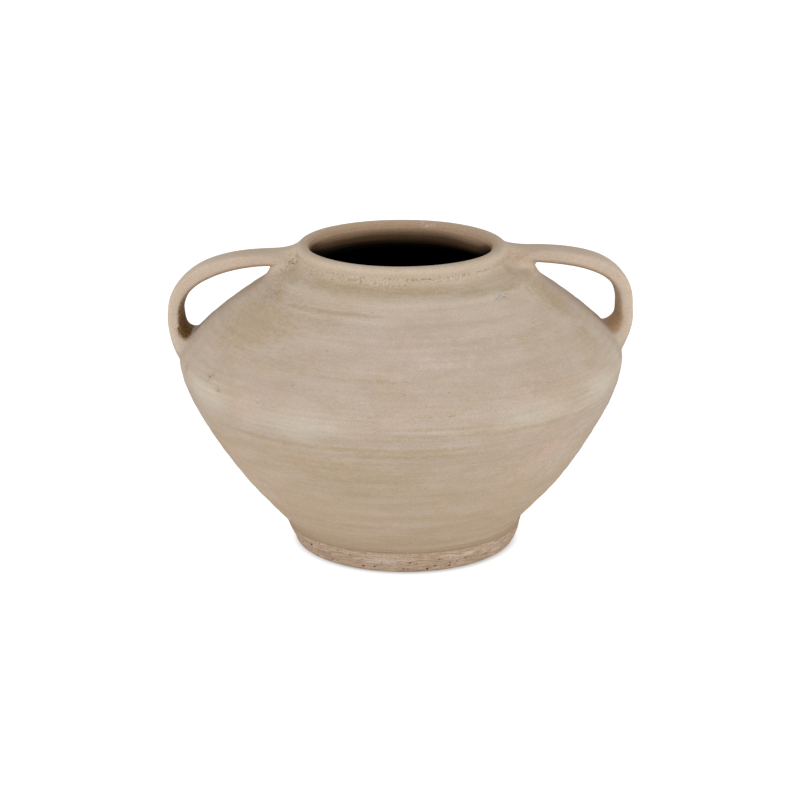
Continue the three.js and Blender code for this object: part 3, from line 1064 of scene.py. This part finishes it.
# %% What every clay finish needs
def new_finish(name, roughness=0.95, gloss=0.08):
    """A matt clay material with an empty recipe: its tree, its shader and the place on it."""
    material = bpy.data.materials.new(name)
    material.use_nodes = True
    tree = material.node_tree
    shader = tree.nodes["Principled BSDF"]
    shader.inputs["Roughness"].default_value = roughness
    shader.inputs["Specular IOR Level"].default_value = gloss
    return material, tree, shader, add(tree, "ShaderNodeTexCoord").outputs["Object"]


def end_finish(material, shader, colour, relief=None, strength=0.0, depth=0.0):
    """Gives the shader its colour and, where there is a relief, its bump."""
    tree = material.node_tree
    tree.links.new(colour, shader.inputs["Base Color"])
    if relief is not None:
        inputs = {"Height": relief, "Strength": strength, "Distance": depth}
        bump = add(tree, "ShaderNodeBump", {}, inputs)
        tree.links.new(bump.outputs[0], shader.inputs["Normal"])
    print("finish", material.name, "of", len(tree.nodes), "nodes")
    return material


def painted(tree, name, output="Fac"):
    """A value that was stored on the mesh's points."""
    return add(tree, "ShaderNodeAttribute", {"attribute_name": name}).outputs[output]


def ragged(tree, name, breaks, depth):
    """A stored mark that breaks up into flecks where another value is low."""
    stored = painted(tree, name)
    uneven = ramp_value(tree, swing(tree, breaks, depth, stored), 0.1, 1.1)
    return share_of(tree, uneven, ramp_value(tree, stored, 0.0, 0.3))


# %% Slip: its lines and grains
def slip_grains(tree, place):
    """Every pattern of the slip that later steps share, by name."""
    lengthwise = painted(tree, "lengthwise", "Vector")
    scratchy = noise(tree, place, scale=520.0, detail=3.0, roughness=0.8)
    return {
        "flecks": use(tree, throwing_lines, place, spacing=0.0013, run=0.007),
        "streaks": use(tree, throwing_lines, place, spacing=0.0028, run=0.08),
        "broad": use(tree, throwing_lines, place, spacing=0.010, run=0.2),
        "strokes": use(tree, throwing_lines, lengthwise, spacing=0.002, run=0.04),
        "mottle": noise(tree, place, scale=130.0, detail=5.0, roughness=0.75),
        "sand": noise(tree, place, scale=950.0, detail=2.0, roughness=0.6),
        "crust": noise(tree, place, scale=700.0, detail=4.0, roughness=0.8),
        "scratchy": ramp_value(tree, scratchy, 0.47, 0.6),
    }


# %% Slip: clouds, then the marks that are stored on the meshes
MARKS_LAID = (
    ("lilac", LILAC, "mottle", 3.0, 0.4),
    ("blush", BLUSH, "mottle", 2.0, 0.38),
    ("bloom", BLOOM, "streaks", 0.8, 0.45),
    # Among the ochre marks is one patch of painted shade under the right neck wad.
    ("ochre", OCHRE, "flecks", 1.8, 0.5),
)


def slip_ground(tree, place, grains, handle, on_wall):
    colour = layer(tree, handle, height_ramp(tree, place), STRAP_CLAY)
    halves = [share_of(tree, grains[name], 0.5) for name in ("flecks", "mottle")]
    ochre_flecks = ramp_value(tree, calc(tree, "ADD", *halves), 0.44, 0.6)
    colour = lay(tree, colour, OCHRE, ochre_flecks, 0.22)
    drawn_out = vector_calc(tree, "MULTIPLY", place, (1.0, 1.0, 2.4))
    ochre_cloud = use(tree, clouds, drawn_out, spacing=0.05, cover=0.45, edge=0.14)
    blush_cloud = use(tree, clouds, drawn_out, spacing=0.036, cover=0.42, edge=0.12)
    lilac_cloud = use(tree, clouds, drawn_out, spacing=0.027, cover=0.45, edge=0.12)
    colour = lay(tree, colour, OCHRE, ochre_cloud, on_wall, 0.16)
    colour = lay(tree, colour, BLUSH, blush_cloud, 0.13)
    colour = lay(tree, colour, LILAC, lilac_cloud, 0.2)
    for name, shade, breaks, depth, amount in MARKS_LAID:
        colour = lay(tree, colour, shade, ragged(tree, name, grains[breaks], depth), amount)
    return colour


# %% Slip: lines of the brush, each only where it was drawn
def slip_lines(tree, colour, grains, handle, on_wall):
    for name, amount, where in (
        ("streaks", 0.2, on_wall),
        ("broad", 0.06, on_wall),
        ("strokes", 0.22, handle),
    ):
        evened = layer(tree, where, MIDDLE_GREY, grains[name])
        colour = lighten(tree, colour, evened, amount)
    for name, amount in (("flecks", 0.2), ("mottle", 0.2), ("sand", 0.5)):
        colour = lighten(tree, colour, grains[name], amount)
    return colour


# %% Slip: grit, soot, rust, stains, and painted shade in the crooks and under the straps
def slip_dirt_and_shade(tree, colour, place, grains, on_wall):
    scratchy = grains["scratchy"]
    grit = use(tree, specks, place, spacing=0.008, size=0.001, share=0.2)
    dotted = use(tree, ring_line, place, height=0.2308, width=0.0009, waver=0.003, gaps=0.45)
    colour = lay(tree, colour, SOOT, grit, 0.3)
    # Soot smudges, and at one patch under the right neck wad painted shade.
    colour = lay(tree, colour, SOOT, painted(tree, "soot"), scratchy, 0.7)
    colour = lay(tree, colour, RUST, dotted, scratchy, on_wall, 0.8)
    colour = lay(tree, colour, SOOT, painted(tree, "scratch"), scratchy)
    # Warm painted shade under the straps and round the crooks, then the crooks' painted shade,
    # partly a real stain.
    for name, shade in (("warm", WARM_PAINTED_SHADE), ("stain", STAIN_AND_SHADE)):
        colour = lay(tree, colour, shade, ragged(tree, name, grains["crust"], 1.8))
    return colour


# %% Slip: the throat's painted shade, and the whole finish
def slip_throat_shade(tree, colour, grains):
    depth = painted(tree, "lining")
    ribbed = swing(tree, grains["streaks"], 0.2, depth)
    # The throat darkens with depth: painted shade.
    throat = lighten(tree, colour_scale(tree, ribbed, THROAT_SHADE_BY_DEPTH), grains["sand"], 0.7)
    colour = lay(tree, colour, throat, ramp_value(tree, depth, 0.0, 0.2))
    return lay(tree, colour, CHALK, painted(tree, "chalk"), grains["scratchy"])


def slip_finish():
    material, tree, shader, place = new_finish("brushed_slip")
    handle = painted(tree, "handle")
    on_wall = calc(tree, "SUBTRACT", 1.0, handle)
    grains = slip_grains(tree, place)
    colour = slip_ground(tree, place, grains, handle, on_wall)
    colour = slip_lines(tree, colour, grains, handle, on_wall)
    colour = slip_dirt_and_shade(tree, colour, place, grains, on_wall)
    colour = slip_throat_shade(tree, colour, grains)
    tooth = use(tree, clay_tooth, place, spacing=0.0013)
    relief = calc(tree, "MULTIPLY_ADD", grains["flecks"], 0.8, tooth)
    return end_finish(material, shader, colour, relief, strength=0.4, depth=0.4 * MM)


slip = slip_finish()

# %% [markdown]
# The foot was trimmed and left raw. Its clay is pinker and rougher than the slip, with pale
# smears where the trimming tool polished it, pale patches on its two sides that are painted
# light, and painted shade in the pits. The slip ends above it in a thin step. How far each
# point lies above that step is stored on the mesh, so colour and shape agree about where the
# slip ends.

# %% Raw clay of the foot
RAW_DARK = tone(162, 138, 115)
RAW_PALE = tone(195, 173, 151)
FOOT_SLIP = tone(166, 146, 124)
EDGE_DIRT = tone(126, 98, 76)
RED_GRIT = tone(140, 98, 74)
PIT_SHADE = tone(74, 52, 38)


def raw_clay_finish():
    material, tree, shader, place = new_finish("raw_foot_clay")
    flecks = use(tree, throwing_lines, place, spacing=0.0008, run=0.010)
    streaks = use(tree, throwing_lines, place, spacing=0.0022, run=0.03)
    sand = noise(tree, place, scale=950.0, detail=2.0, roughness=0.6)
    smear = use(tree, clouds, place, spacing=0.02, cover=0.4, edge=0.12)
    grit = use(tree, specks, place, spacing=0.0032, size=0.0007, share=0.3)

    raw = layer(tree, ramp_value(tree, flecks, 0.34, 0.66), RAW_DARK, RAW_PALE)
    raw = lay(tree, raw, LILAC, smear, 0.15)
    # Pale lilac patches: a real bloom, and painted light on the foot's two sides.
    raw = lay(tree, raw, LILAC, ragged(tree, "bloom", flecks, 3.0), 0.6)
    raw = lighten(tree, lighten(tree, raw, streaks, 0.2), sand, 0.9)
    slipped = lighten(tree, lighten(tree, FOOT_SLIP[:3], streaks, 0.15), sand, 0.5)
    above_edge = swing(tree, streaks, 2.0, painted(tree, "above_edge"))
    colour = layer(tree, ramp_value(tree, above_edge, -0.4, 0.4), raw, slipped)

    off_edge = calc(tree, "ABSOLUTE", calc(tree, "ADD", above_edge, 0.1))
    on_edge = ramp_value(tree, off_edge, 0.1, 0.8, 1.0, 0.0)
    colour = lay(tree, colour, EDGE_DIRT, on_edge, ramp_value(tree, flecks, 0.35, 0.6), 0.5)
    colour = lay(tree, colour, RED_GRIT, grit, 0.5)
    # Painted shade in the pits.
    colour = lay(tree, colour, PIT_SHADE, painted(tree, "pit"))
    tooth = use(tree, clay_tooth, place, spacing=0.0009)
    return end_finish(material, shader, colour, tooth, strength=0.5, depth=0.5 * MM)


raw_clay = raw_clay_finish()

# %% [markdown]
# Inside, the jar is painted with shade: from the throat down every inner face is nearly
# black, a painted shadow of the deep cavity. Only the first centimetre or two inside the
# mouth shows the clay, and painted shade darkens it quickly. That is why the opening looks
# like a hole with no depth.

# %% Painted shade inside the jar
CAVITY_SHADE_BLACK = tone(1, 1, 1)
CAVITY_SHADE_LIGHTER = tone(7, 6, 5)


def cavity_shade_finish():
    material, tree, shader, place = new_finish("dark_lining", gloss=0.0)
    # Uneven painted shade, from black to very dark grey.
    shade_unevenness = noise(tree, place, scale=60.0, detail=3.0)
    return end_finish(material, shader, layer(tree, shade_unevenness, CAVITY_SHADE_BLACK, CAVITY_SHADE_LIGHTER))


dark_lining = cavity_shade_finish()

# %% [markdown]
# The marks of this jar are listed as a potter would point them out: so many degrees
# round from the right handle, so high above the table. A patch fades out like a hill, and a
# run is a thin band along the wheel's turning that fades at both ends. The front of the jar
# faces minus ninety degrees. Each mark is written as a value on the points of every piece that
# it touches, so it crosses a seam without a break.

# %% Where the marks are
# A patch: its turn, height, reach sideways, reach upwards and strength. A run: the turns of
# its two ends, their heights, its width and its strength. Lengths are in millimetres.
PATCHES = {
    "ochre": (
        (-150, 194, 46, 19, 1.1), (-146, 172, 24, 6, 0.6), (-118, 205, 30, 8, 0.6),
        (-160, 213, 26, 12, 0.85), (-17, 227, 7, 8, 0.8), (-16, 205, 20, 14, 1.1),
        (-21, 180, 16, 9, 0.9), (-45, 190, 26, 10, 0.55), (-108, 104, 70, 17, 0.7),
        # The patch at minus five degrees, 219 mm up, is painted shade under the right neck wad.
        (-88, 36, 60, 14, 0.25), (-5, 219, 12, 3.5, 0.9), (-100, 171, 5, 3, 0.6),
        (-127, 181, 42, 9, 0.5), (-98, 119, 44, 5, 0.45), (60, 190, 50, 16, 0.8),
        (120, 100, 70, 15, 0.6), (95, 40, 60, 14, 0.5),
    ),
    "blush": (
        (-147, 107, 16, 22, 0.8), (-44, 108, 40, 16, 0.7), (-55, 80, 22, 14, 0.8),
        (-72, 198, 60, 12, 0.3), (-100, 186, 40, 10, 0.35), (-127, 58, 26, 18, 0.5),
        (-2, 229, 15, 8, 1.0), (-78, 45, 30, 8, 0.4), (80, 110, 50, 20, 0.7),
        (140, 75, 30, 16, 0.8), (20, 205, 30, 10, 0.5),
    ),
    "bloom": (
        (-150, 147, 38, 13, 0.98), (-116, 141, 44, 11, 0.95), (-84, 139, 30, 8, 0.6),
        (-56, 144, 40, 9.5, 0.85), (-28, 151, 36, 14, 1.05), (-14, 163, 20, 16, 0.62),
        (-45, 218, 14, 4, 1.0), (-160, 166, 12, 10, 0.45), (-100, 206, 26, 6, 0.6),
        # The patches at minus 140 and minus 38 degrees, 11 mm up, are painted light that lifts the
        # shade on the foot's two sides.
        (-100, 11, 17, 4, 1.2), (-60, 12, 12, 4, 0.9), (-140, 11, 20, 6, 0.5),
        (-38, 11, 18, 6, 0.5), (70, 145, 60, 12, 1.0), (140, 150, 40, 14, 0.9),
        (60, 11, 20, 4, 1.0),
    ),
    "lilac": (
        (-42, 98, 44, 18, 0.9), (-78, 190, 80, 20, 0.55), (-62, 168, 40, 10, 0.4),
        (-150, 66, 40, 16, 0.6), (-92, 50, 26, 6, 0.6), (95, 180, 80, 20, 0.6),
        (150, 70, 50, 20, 0.6),
    ),
    "chalk": (
        (77.5, 239.0, 1.4, 2.2, 1.0), (74, 236.8, 2.6, 1.2, 1.0), (70, 237.8, 2.6, 1.0, 0.8),
    ),
    "soot": (
        (-174.5, 228, 2.8, 6, 1.5), (-173, 221, 10, 11, 0.35), (-112, 228, 46, 4.5, 0.5),
        (-68, 230.5, 40, 2.6, 0.5), (-148, 159, 3, 3.5, 1.2), (-142, 153.5, 4, 2, 1.0),
        (-163, 153, 5, 3, 0.7), (-150, 227, 12, 4, 0.7), (-157, 209, 17, 9, 0.42),
        # The patch at minus nine degrees, 219 mm up, is painted shade under the right neck wad.
        (-4.5, 231, 4, 6, 0.55), (-9, 219, 7, 2.5, 0.4), (-119.6, 167, 1, 1, 0.9),
        (-43, 215, 8, 1.5, 0.9), (100, 160, 5, 3, 1.0), (48, 227, 12, 4, 0.7),
        (12, 226, 8, 6, 0.7),
    ),
}

# %% Where the runs are
RUNS = {
    "ochre": (
        (-158, -50, 222.0, 223.2, 3.2, 0.85), (-70, -20, 221.0, 217.5, 2.6, 0.75),
        (-150, -96, 208.4, 210.0, 1.6, 0.9), (-152, -76, 176.5, 173.2, 1.7, 0.6),
        (-152, -62, 124.0, 125.0, 2.2, 0.9), (-112, -66, 119.5, 120.5, 3.5, 0.75),
        (-104, -60, 143.5, 142.0, 1.5, 0.65), (-98, -64, 136.5, 137.5, 2.4, 0.75),
        (-75, -30, 134, 137, 2.2, 0.6), (20, 160, 221, 221.5, 2.4, 0.8),
        (50, 150, 124, 125, 2.2, 0.8),
    ),
    "scratch": (
        (-88, -70, 152.3, 153.3, 0.35, 0.5), (-70, -58, 153.6, 153.9, 0.35, 0.7),
        (-41, -36, 152.4, 152.0, 0.40, 0.5), (-131, -121, 152.6, 152.2, 0.40, 0.5),
        (-104, -95, 151.8, 152.2, 0.35, 0.4), (60, 84, 152.2, 152.8, 0.35, 0.6),
    ),
}
RUN_ENDS = 6
FADES_OFF_WALL = 15
print(sum(map(len, PATCHES.values())), "patches and", sum(map(len, RUNS.values())), "runs")


def turn_between(turn, middle):
    """The shorter way round from one angle to another, in degrees."""
    return (turn - middle + 180) % 360 - 180


def patch_value(turn, radius, height, marks):
    value = np.zeros(len(turn))
    for middle, level, wide, tall, strength in marks:
        round_way = np.radians(turn_between(turn, middle)) * radius
        away = (round_way / wide) ** 2 + ((height - level) / tall) ** 2
        value = np.maximum(value, strength * np.exp(-away))
    return value


def run_value(turn, height, marks):
    value = np.zeros(len(turn))
    for start, end, start_level, end_level, width, strength in marks:
        share = turn_between(turn, (start + end) / 2) / (end - start) + 0.5
        level = start_level + (end_level - start_level) * share
        fade = np.clip(share * RUN_ENDS, 0, 1) * np.clip((1 - share) * RUN_ENDS, 0, 1)
        value = np.maximum(value, strength * fade * hill(height - level, width))
    return value


# %% Values stored on the meshes
def mesh_values(piece, name, kind="vertices"):
    """A list of three numbers for each point: its place, or the way its surface faces."""
    values = np.zeros(len(piece.data.vertices) * 3, np.float32)
    getattr(piece.data, kind).foreach_get(name, values)
    return values.reshape(-1, 3).astype(float)


def store(piece, name, values):
    """Keeps one value for each point of a mesh, for its finish to read."""
    attribute = piece.data.attributes.new(name, "FLOAT", "POINT")
    attribute.data.foreach_set("value", np.asarray(values, np.float32))


def round_and_out(place):
    """The angle round the jar, in degrees, and the distance from the jar's axis."""
    return np.degrees(np.arctan2(place[:, 1], place[:, 0])), np.hypot(place[:, 0], place[:, 1])


def store_marks(piece):
    place = mesh_values(piece, "co")
    turn, radius = round_and_out(place)
    radius, height = radius / MM, place[:, 2] / MM
    wall_radius = line_at(length_at_height(place[:, 2]))[0] / MM
    near_wall = hill(np.maximum(radius - wall_radius, 0), FADES_OFF_WALL)
    for name, marks in PATCHES.items():
        value = patch_value(turn, radius, height, marks)
        value = np.maximum(value, run_value(turn, height, RUNS.get(name, ())))
        store(piece, name, value * near_wall)
    store(piece, "scratch", run_value(turn, height, RUNS["scratch"]))


for piece in (foot_piece, *wall_pieces, *clay_of_handles):
    store_marks(piece)
print("marks stored on", 1 + len(wall_pieces) + len(clay_of_handles), "pieces")

# %% Values stored on the foot
DARK_PIT = 0.4 * MM

place = mesh_values(foot_piece, "co")
turn, radius = round_and_out(place)
turn = np.radians(turn)
on_side = radius > foot_inner_radius + FOOT_WIDTH / 2
in_pit = np.clip(pit_depth(turn, place[:, 2]) / DARK_PIT, 0, 1) * on_side
store(foot_piece, "pit", in_pit)
store(foot_piece, "above_edge", (place[:, 2] - ledge_at(turn)) / MM)
print(int((in_pit > 0.5).sum()), "points of the foot lie in a pit")

# %% How far down the throat each point of the neck lies
# The painted shade climbs higher at the two sides, and one side is paler where light falls in.
THROAT_SHADE_STARTS = 1 * MM
THROAT_SHADE_FADES = 4 * MM
THROAT_SHADE_CLIMBS = 0.9
SIDES_ONLY = 16
PALE_SIDE = 0.16
PALE_SIDE_TURN = 34
PALE_SIDE_SPAN = 20
THROAT_START = 0.2

place = mesh_values(neck_piece, "co")
turn, radius = round_and_out(place)
true_radius = np.hypot(place[:, 0] - axis_shift(place[:, 2]), place[:, 1])
throat_shade_radius = lip_centre[0] + THROAT_SHADE_STARTS
inside_lip = np.clip((throat_shade_radius - true_radius) / THROAT_SHADE_FADES, 0, 1)
at_sides = (place[:, 0] / radius) ** SIDES_ONLY
down = (RIM_HEIGHT - place[:, 2]) / THROAT_DROP * (1 + THROAT_SHADE_CLIMBS * at_sides)
down = np.clip(down - PALE_SIDE * hill(turn - PALE_SIDE_TURN, PALE_SIDE_SPAN), 0, 1)
store(neck_piece, "lining", inside_lip * (THROAT_START + (1 - THROAT_START) * down))
print(int((inside_lip > 0).sum()), "points of the neck lie inside the lip")

# %% [markdown]
# The handles are warmer and paler than the wall, because they were pulled from cleaner clay
# and stroked with a wet hand. Their streaks run lengthwise, so each strap stores how far along
# it and how far round it a point lies. Each wad stores how much of a handle it still is: all
# at the strap's end, nothing at its thin edge. In the crook of each lower root the clay is
# painted dark: painted shade of the crook, partly a real stain. It is stored only where the
# surface faces into the crook. Round it, and along the strap's underside, a warmer brown is
# painted shade as well.

# %% Where the crooks are
# A crook: how far out its middle lies, how far forward and how high, how far it reaches
# sideways and upwards, how strong its painted shade and stain is, and how strong its warm
# painted shade is.
CROOKS = {
    "left": (168, -8, 168, 20, 29, 0.98, 1.0),
    "right": (163, -6, 165, 21, 34, 0.12, 0.9),
}
# Which way a surface has to face to look into a crook, and how squarely.
CROOK_UP = {"strap": 0.0, "wad": 0.5}
CROOK_FRONT = 0.35
CROOK_START = {"strap": 0.4, "wad": 0.14}
CROOK_GAIN = 1.9
# How strong the warm painted shade on a strap's underside is, and how much a surface has to face
# down for that.
WARM_SHARE = 0.8
WARM_START = 0.1
WARM_GAIN = 1.1
# The rings at a sharp corner, each with the smooth ring beside it.
SHARP_RINGS = {
    "strap": {2: 3, -3: -4},
    "wad": {0: 1, LOFT_ROWS - 1: LOFT_ROWS - 2},
}


def kind_of(piece):
    """Whether a piece of a handle is a strap or a wad, by its name."""
    return piece.name.split("_")[-1]


def ring_normals(piece):
    """Normals of a strap or wad. On a sharp ring they are taken from the smooth ring beside it."""
    faces = mesh_values(piece, "normal")
    rows = faces[: len(faces) // SECTION_COLUMNS * SECTION_COLUMNS].reshape(-1, SECTION_COLUMNS, 3)
    for ring, beside_it in SHARP_RINGS[kind_of(piece)].items():
        rows[ring] = rows[beside_it]
    faces[: rows.size // 3] = rows.reshape(-1, 3)
    return faces


def in_crook(piece, side_name):
    """How much each point lies in a crook and faces into it, from 0 to 1."""
    out, forward, level, reach, rise = CROOKS[side_name][:5]
    turn, _ = handle_turn(HANDLES[side_name])
    outwards = np.array([math.cos(turn), math.sin(turn), 0])
    middle = outwards * out * MM + np.array([0, forward, level]) * MM
    away = (mesh_values(piece, "co") - middle) / (np.array([reach, rise, rise]) * MM)
    into_crook = unit(-outwards + np.array([0, -CROOK_FRONT, CROOK_UP[kind_of(piece)]]))
    facing = (ring_normals(piece) @ into_crook - CROOK_START[kind_of(piece)]) * CROOK_GAIN
    return np.clip(facing, 0, 1) * np.exp(-(away**2).sum(axis=1))


# %% Values stored on the handles
# How much of a handle a wad is at its start, and how fast that fades along it.
WAD_START = 1.1
WAD_FADE = 1.5


def store_handle_shades(piece, side_name, still_handle):
    """How much a point is handle, and how much painted shade and stain and warm painted shade it
    takes.
    """
    store(piece, "handle", still_handle)
    crook = in_crook(piece, side_name)
    stain, warm = CROOKS[side_name][5:]
    downwards = -ring_normals(piece)[:, 2]
    under = WARM_SHARE * still_handle * np.clip((downwards - WARM_START) * WARM_GAIN, 0, 1)
    # Warm painted shade where the surface faces down.
    store(piece, "warm", np.maximum(under, warm * crook))
    if "neck" not in piece.name:
        store(piece, "stain", stain * crook)


def store_lengthwise(strap, handle):
    """How far along the strap and how far round it a point lies."""
    points = len(strap.data.vertices)
    ring_number, column = np.divmod(np.arange(points), SECTION_COLUMNS)
    half_round = 2 * handle["half_width"][1] * MM
    round_it = np.abs(column / SECTION_COLUMNS - 0.5) * 2 * half_round
    lengthwise = np.stack([ring_number * STRAP_STEP, np.zeros(points), round_it], axis=1)
    attribute = strap.data.attributes.new("lengthwise", "FLOAT_VECTOR", "POINT")
    attribute.data.foreach_set("vector", lengthwise.astype(np.float32).ravel())


for side_name, (strap, *wads) in handle_pieces.items():
    store_lengthwise(strap, HANDLES[side_name])
    store_handle_shades(strap, side_name, np.ones(len(strap.data.vertices)))
    for wad in wads:
        row = np.arange(len(wad.data.vertices)) // SECTION_COLUMNS
        still_handle = np.clip(WAD_START - row / (LOFT_ROWS - 1), 0, 1) ** WAD_FADE
        store_handle_shades(wad, side_name, still_handle)
# The fire's marks are the painted shade of the crooks and undersides, partly a real stain.
print("fire's marks stored on", len(clay_of_handles), "pieces")

# %% Dress the pieces
foot_piece.data.materials.append(raw_clay)
for piece in (*wall_pieces, *clay_of_handles):
    piece.data.materials.append(slip)
for piece in wall_pieces:
    # The inner faces take the black painted shade.
    piece.data.materials.append(dark_lining)
print(len(bpy.data.materials), "finishes in the file")

# %% [markdown]
# Each piece now rides on the one body, and the imported node that it stands for is hidden.
# The jar has no moving parts, so there is only one body.

# %% Tie the pieces to the imported model
STANDS_FOR = [
    (foot_piece, "foot", "raw_clay"),
    (bowl_piece, "lower_bowl", "body_clay"),
    (shoulder_piece, "shoulder", "body_clay"),
    (neck_piece, "neck", "body_clay"),
]
for side_name, pieces in handle_pieces.items():
    for piece, node_ending in zip(pieces, ("handle", "upper_wad", "lower_wad")):
        STANDS_FOR.append((piece, f"{side_name}_{node_ending}", "handle_clay"))
for piece, node_name, slot_name in STANDS_FOR:
    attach(piece, "root")
    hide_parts(node_name)
print(len(STANDS_FOR), "pieces stand for packed nodes")

# %% [markdown]
# The picture was taken in a white tent. The light comes from everywhere, a little more from
# the two front sides than from above, and the floor is so bright that only the tight shadow
# under the foot is left of it. The world gives the even part and four wide lamps give the
# rest. To the jar the floor is a plain pale surface. Only the camera sees its glow, so the jar
# is never lit by it and still stands in its own shadow. The glow fades close to the foot: a
# painted contact shadow over the real one.

# %% Light from everywhere
WORLD_LIGHT = 0.6

world = bpy.data.worlds.new("white_tent")
scene.world = world
world.use_nodes = True
world_tree = world.node_tree
background = world_tree.nodes["Background"]
background.inputs["Color"].default_value = (1, 1, 1, 1)
rays = add(world_tree, "ShaderNodeLightPath").outputs
seen = calc(world_tree, "MAXIMUM", rays["Is Camera Ray"], rays["Is Glossy Ray"])
seen = calc(world_tree, "MAXIMUM", seen, rays["Is Transmission Ray"])
strength = add(world_tree, "ShaderNodeMapRange", {}, {0: seen, 3: WORLD_LIGHT, 4: 1.0})
world_tree.links.new(strength.outputs[0], background.inputs["Strength"])
print("world light", WORLD_LIGHT)

# %% Four wide lamps
# A lamp: its azimuth from the front, its distance, height, width and power.
LAMPS = {
    "left_lamp": (-65, 1.6, 0.3, 1.3, 8.0),
    "right_lamp": (65, 1.6, 0.3, 1.3, 8.0),
    "front_lamp": (0, 1.8, 0.7, 1.5, 8.5),
    "back_lamp": (180, 1.8, 0.7, 1.5, 5.0),
}
LAMP_TALL = 0.45
JAR_MIDDLE = Vector((0, 0, 0.12))

for lamp_name, (azimuth, distance, height, wide, power) in LAMPS.items():
    lamp_data = bpy.data.lights.new(lamp_name, "AREA")
    lamp_data.shape = "RECTANGLE"
    lamp_data.size = wide
    lamp_data.size_y = LAMP_TALL
    lamp_data.energy = power
    lamp = bpy.data.objects.new(lamp_name, lamp_data)
    turn = math.radians(azimuth)
    lamp.location = (distance * math.sin(turn), -distance * math.cos(turn), height)
    aim = JAR_MIDDLE - lamp.location
    lamp.rotation_euler = aim.to_track_quat("-Z", "Y").to_euler()
    scene.collection.objects.link(lamp)
print(len(LAMPS), "lamps")

# %% Floor that only the camera sees glow
FLOOR_REACH = 6.0
FLOOR_GLOW = 0.92
FLOOR_COLOUR = 0.85
FLOOR_SEEN = 0.3
# The glow fades near the foot: a painted contact shadow.
SHADE_START = 79.5 * MM
SHADE_END = 93 * MM
SHADE_LEFT = 0.25
SHADE_MIDDLE = (2 * MM, 0, 0)

floor_paint = bpy.data.materials.new("white_floor")
floor_paint.use_nodes = True
floor_tree = floor_paint.node_tree
floor_shader = floor_tree.nodes["Principled BSDF"].inputs
floor_shader["Roughness"].default_value = 1.0
floor_shader["Specular IOR Level"].default_value = 0.0
floor_shader["Emission Color"].default_value = (1, 1, 1, 1)
to_camera = add(floor_tree, "ShaderNodeLightPath").outputs["Is Camera Ray"]
floor_place = add(floor_tree, "ShaderNodeTexCoord").outputs["Object"]
from_foot = vector_calc(floor_tree, "SUBTRACT", floor_place, SHADE_MIDDLE)
from_axis = add(floor_tree, "ShaderNodeVectorMath", {"operation": "LENGTH"}, {0: from_foot})
from_axis = from_axis.outputs["Value"]
clear_of_foot = ramp_value(floor_tree, from_axis, SHADE_START, SHADE_END, SHADE_LEFT, 1.0)
glow = share_of(floor_tree, to_camera, share_of(floor_tree, clear_of_foot, FLOOR_GLOW))
floor_tree.links.new(glow, floor_shader["Emission Strength"])
floor_greys = [(level, level, level, 1) for level in (FLOOR_COLOUR, FLOOR_SEEN)]
floor_colour = layer(floor_tree, to_camera, *floor_greys)
floor_tree.links.new(floor_colour, floor_shader["Base Color"])

floor_mesh = bpy.data.meshes.new("floor")
corner_signs = ((-1, -1), (1, -1), (1, 1), (-1, 1))
floor_corners = [(x * FLOOR_REACH, y * FLOOR_REACH, 0) for x, y in corner_signs]
floor_mesh.from_pydata(floor_corners, [], [(0, 1, 2, 3)])
floor_mesh.materials.append(floor_paint)
floor = bpy.data.objects.new("floor", floor_mesh)
scene.collection.objects.link(floor)
scene.view_settings.view_transform = "Standard"
print("floor", 2 * FLOOR_REACH, "m wide")
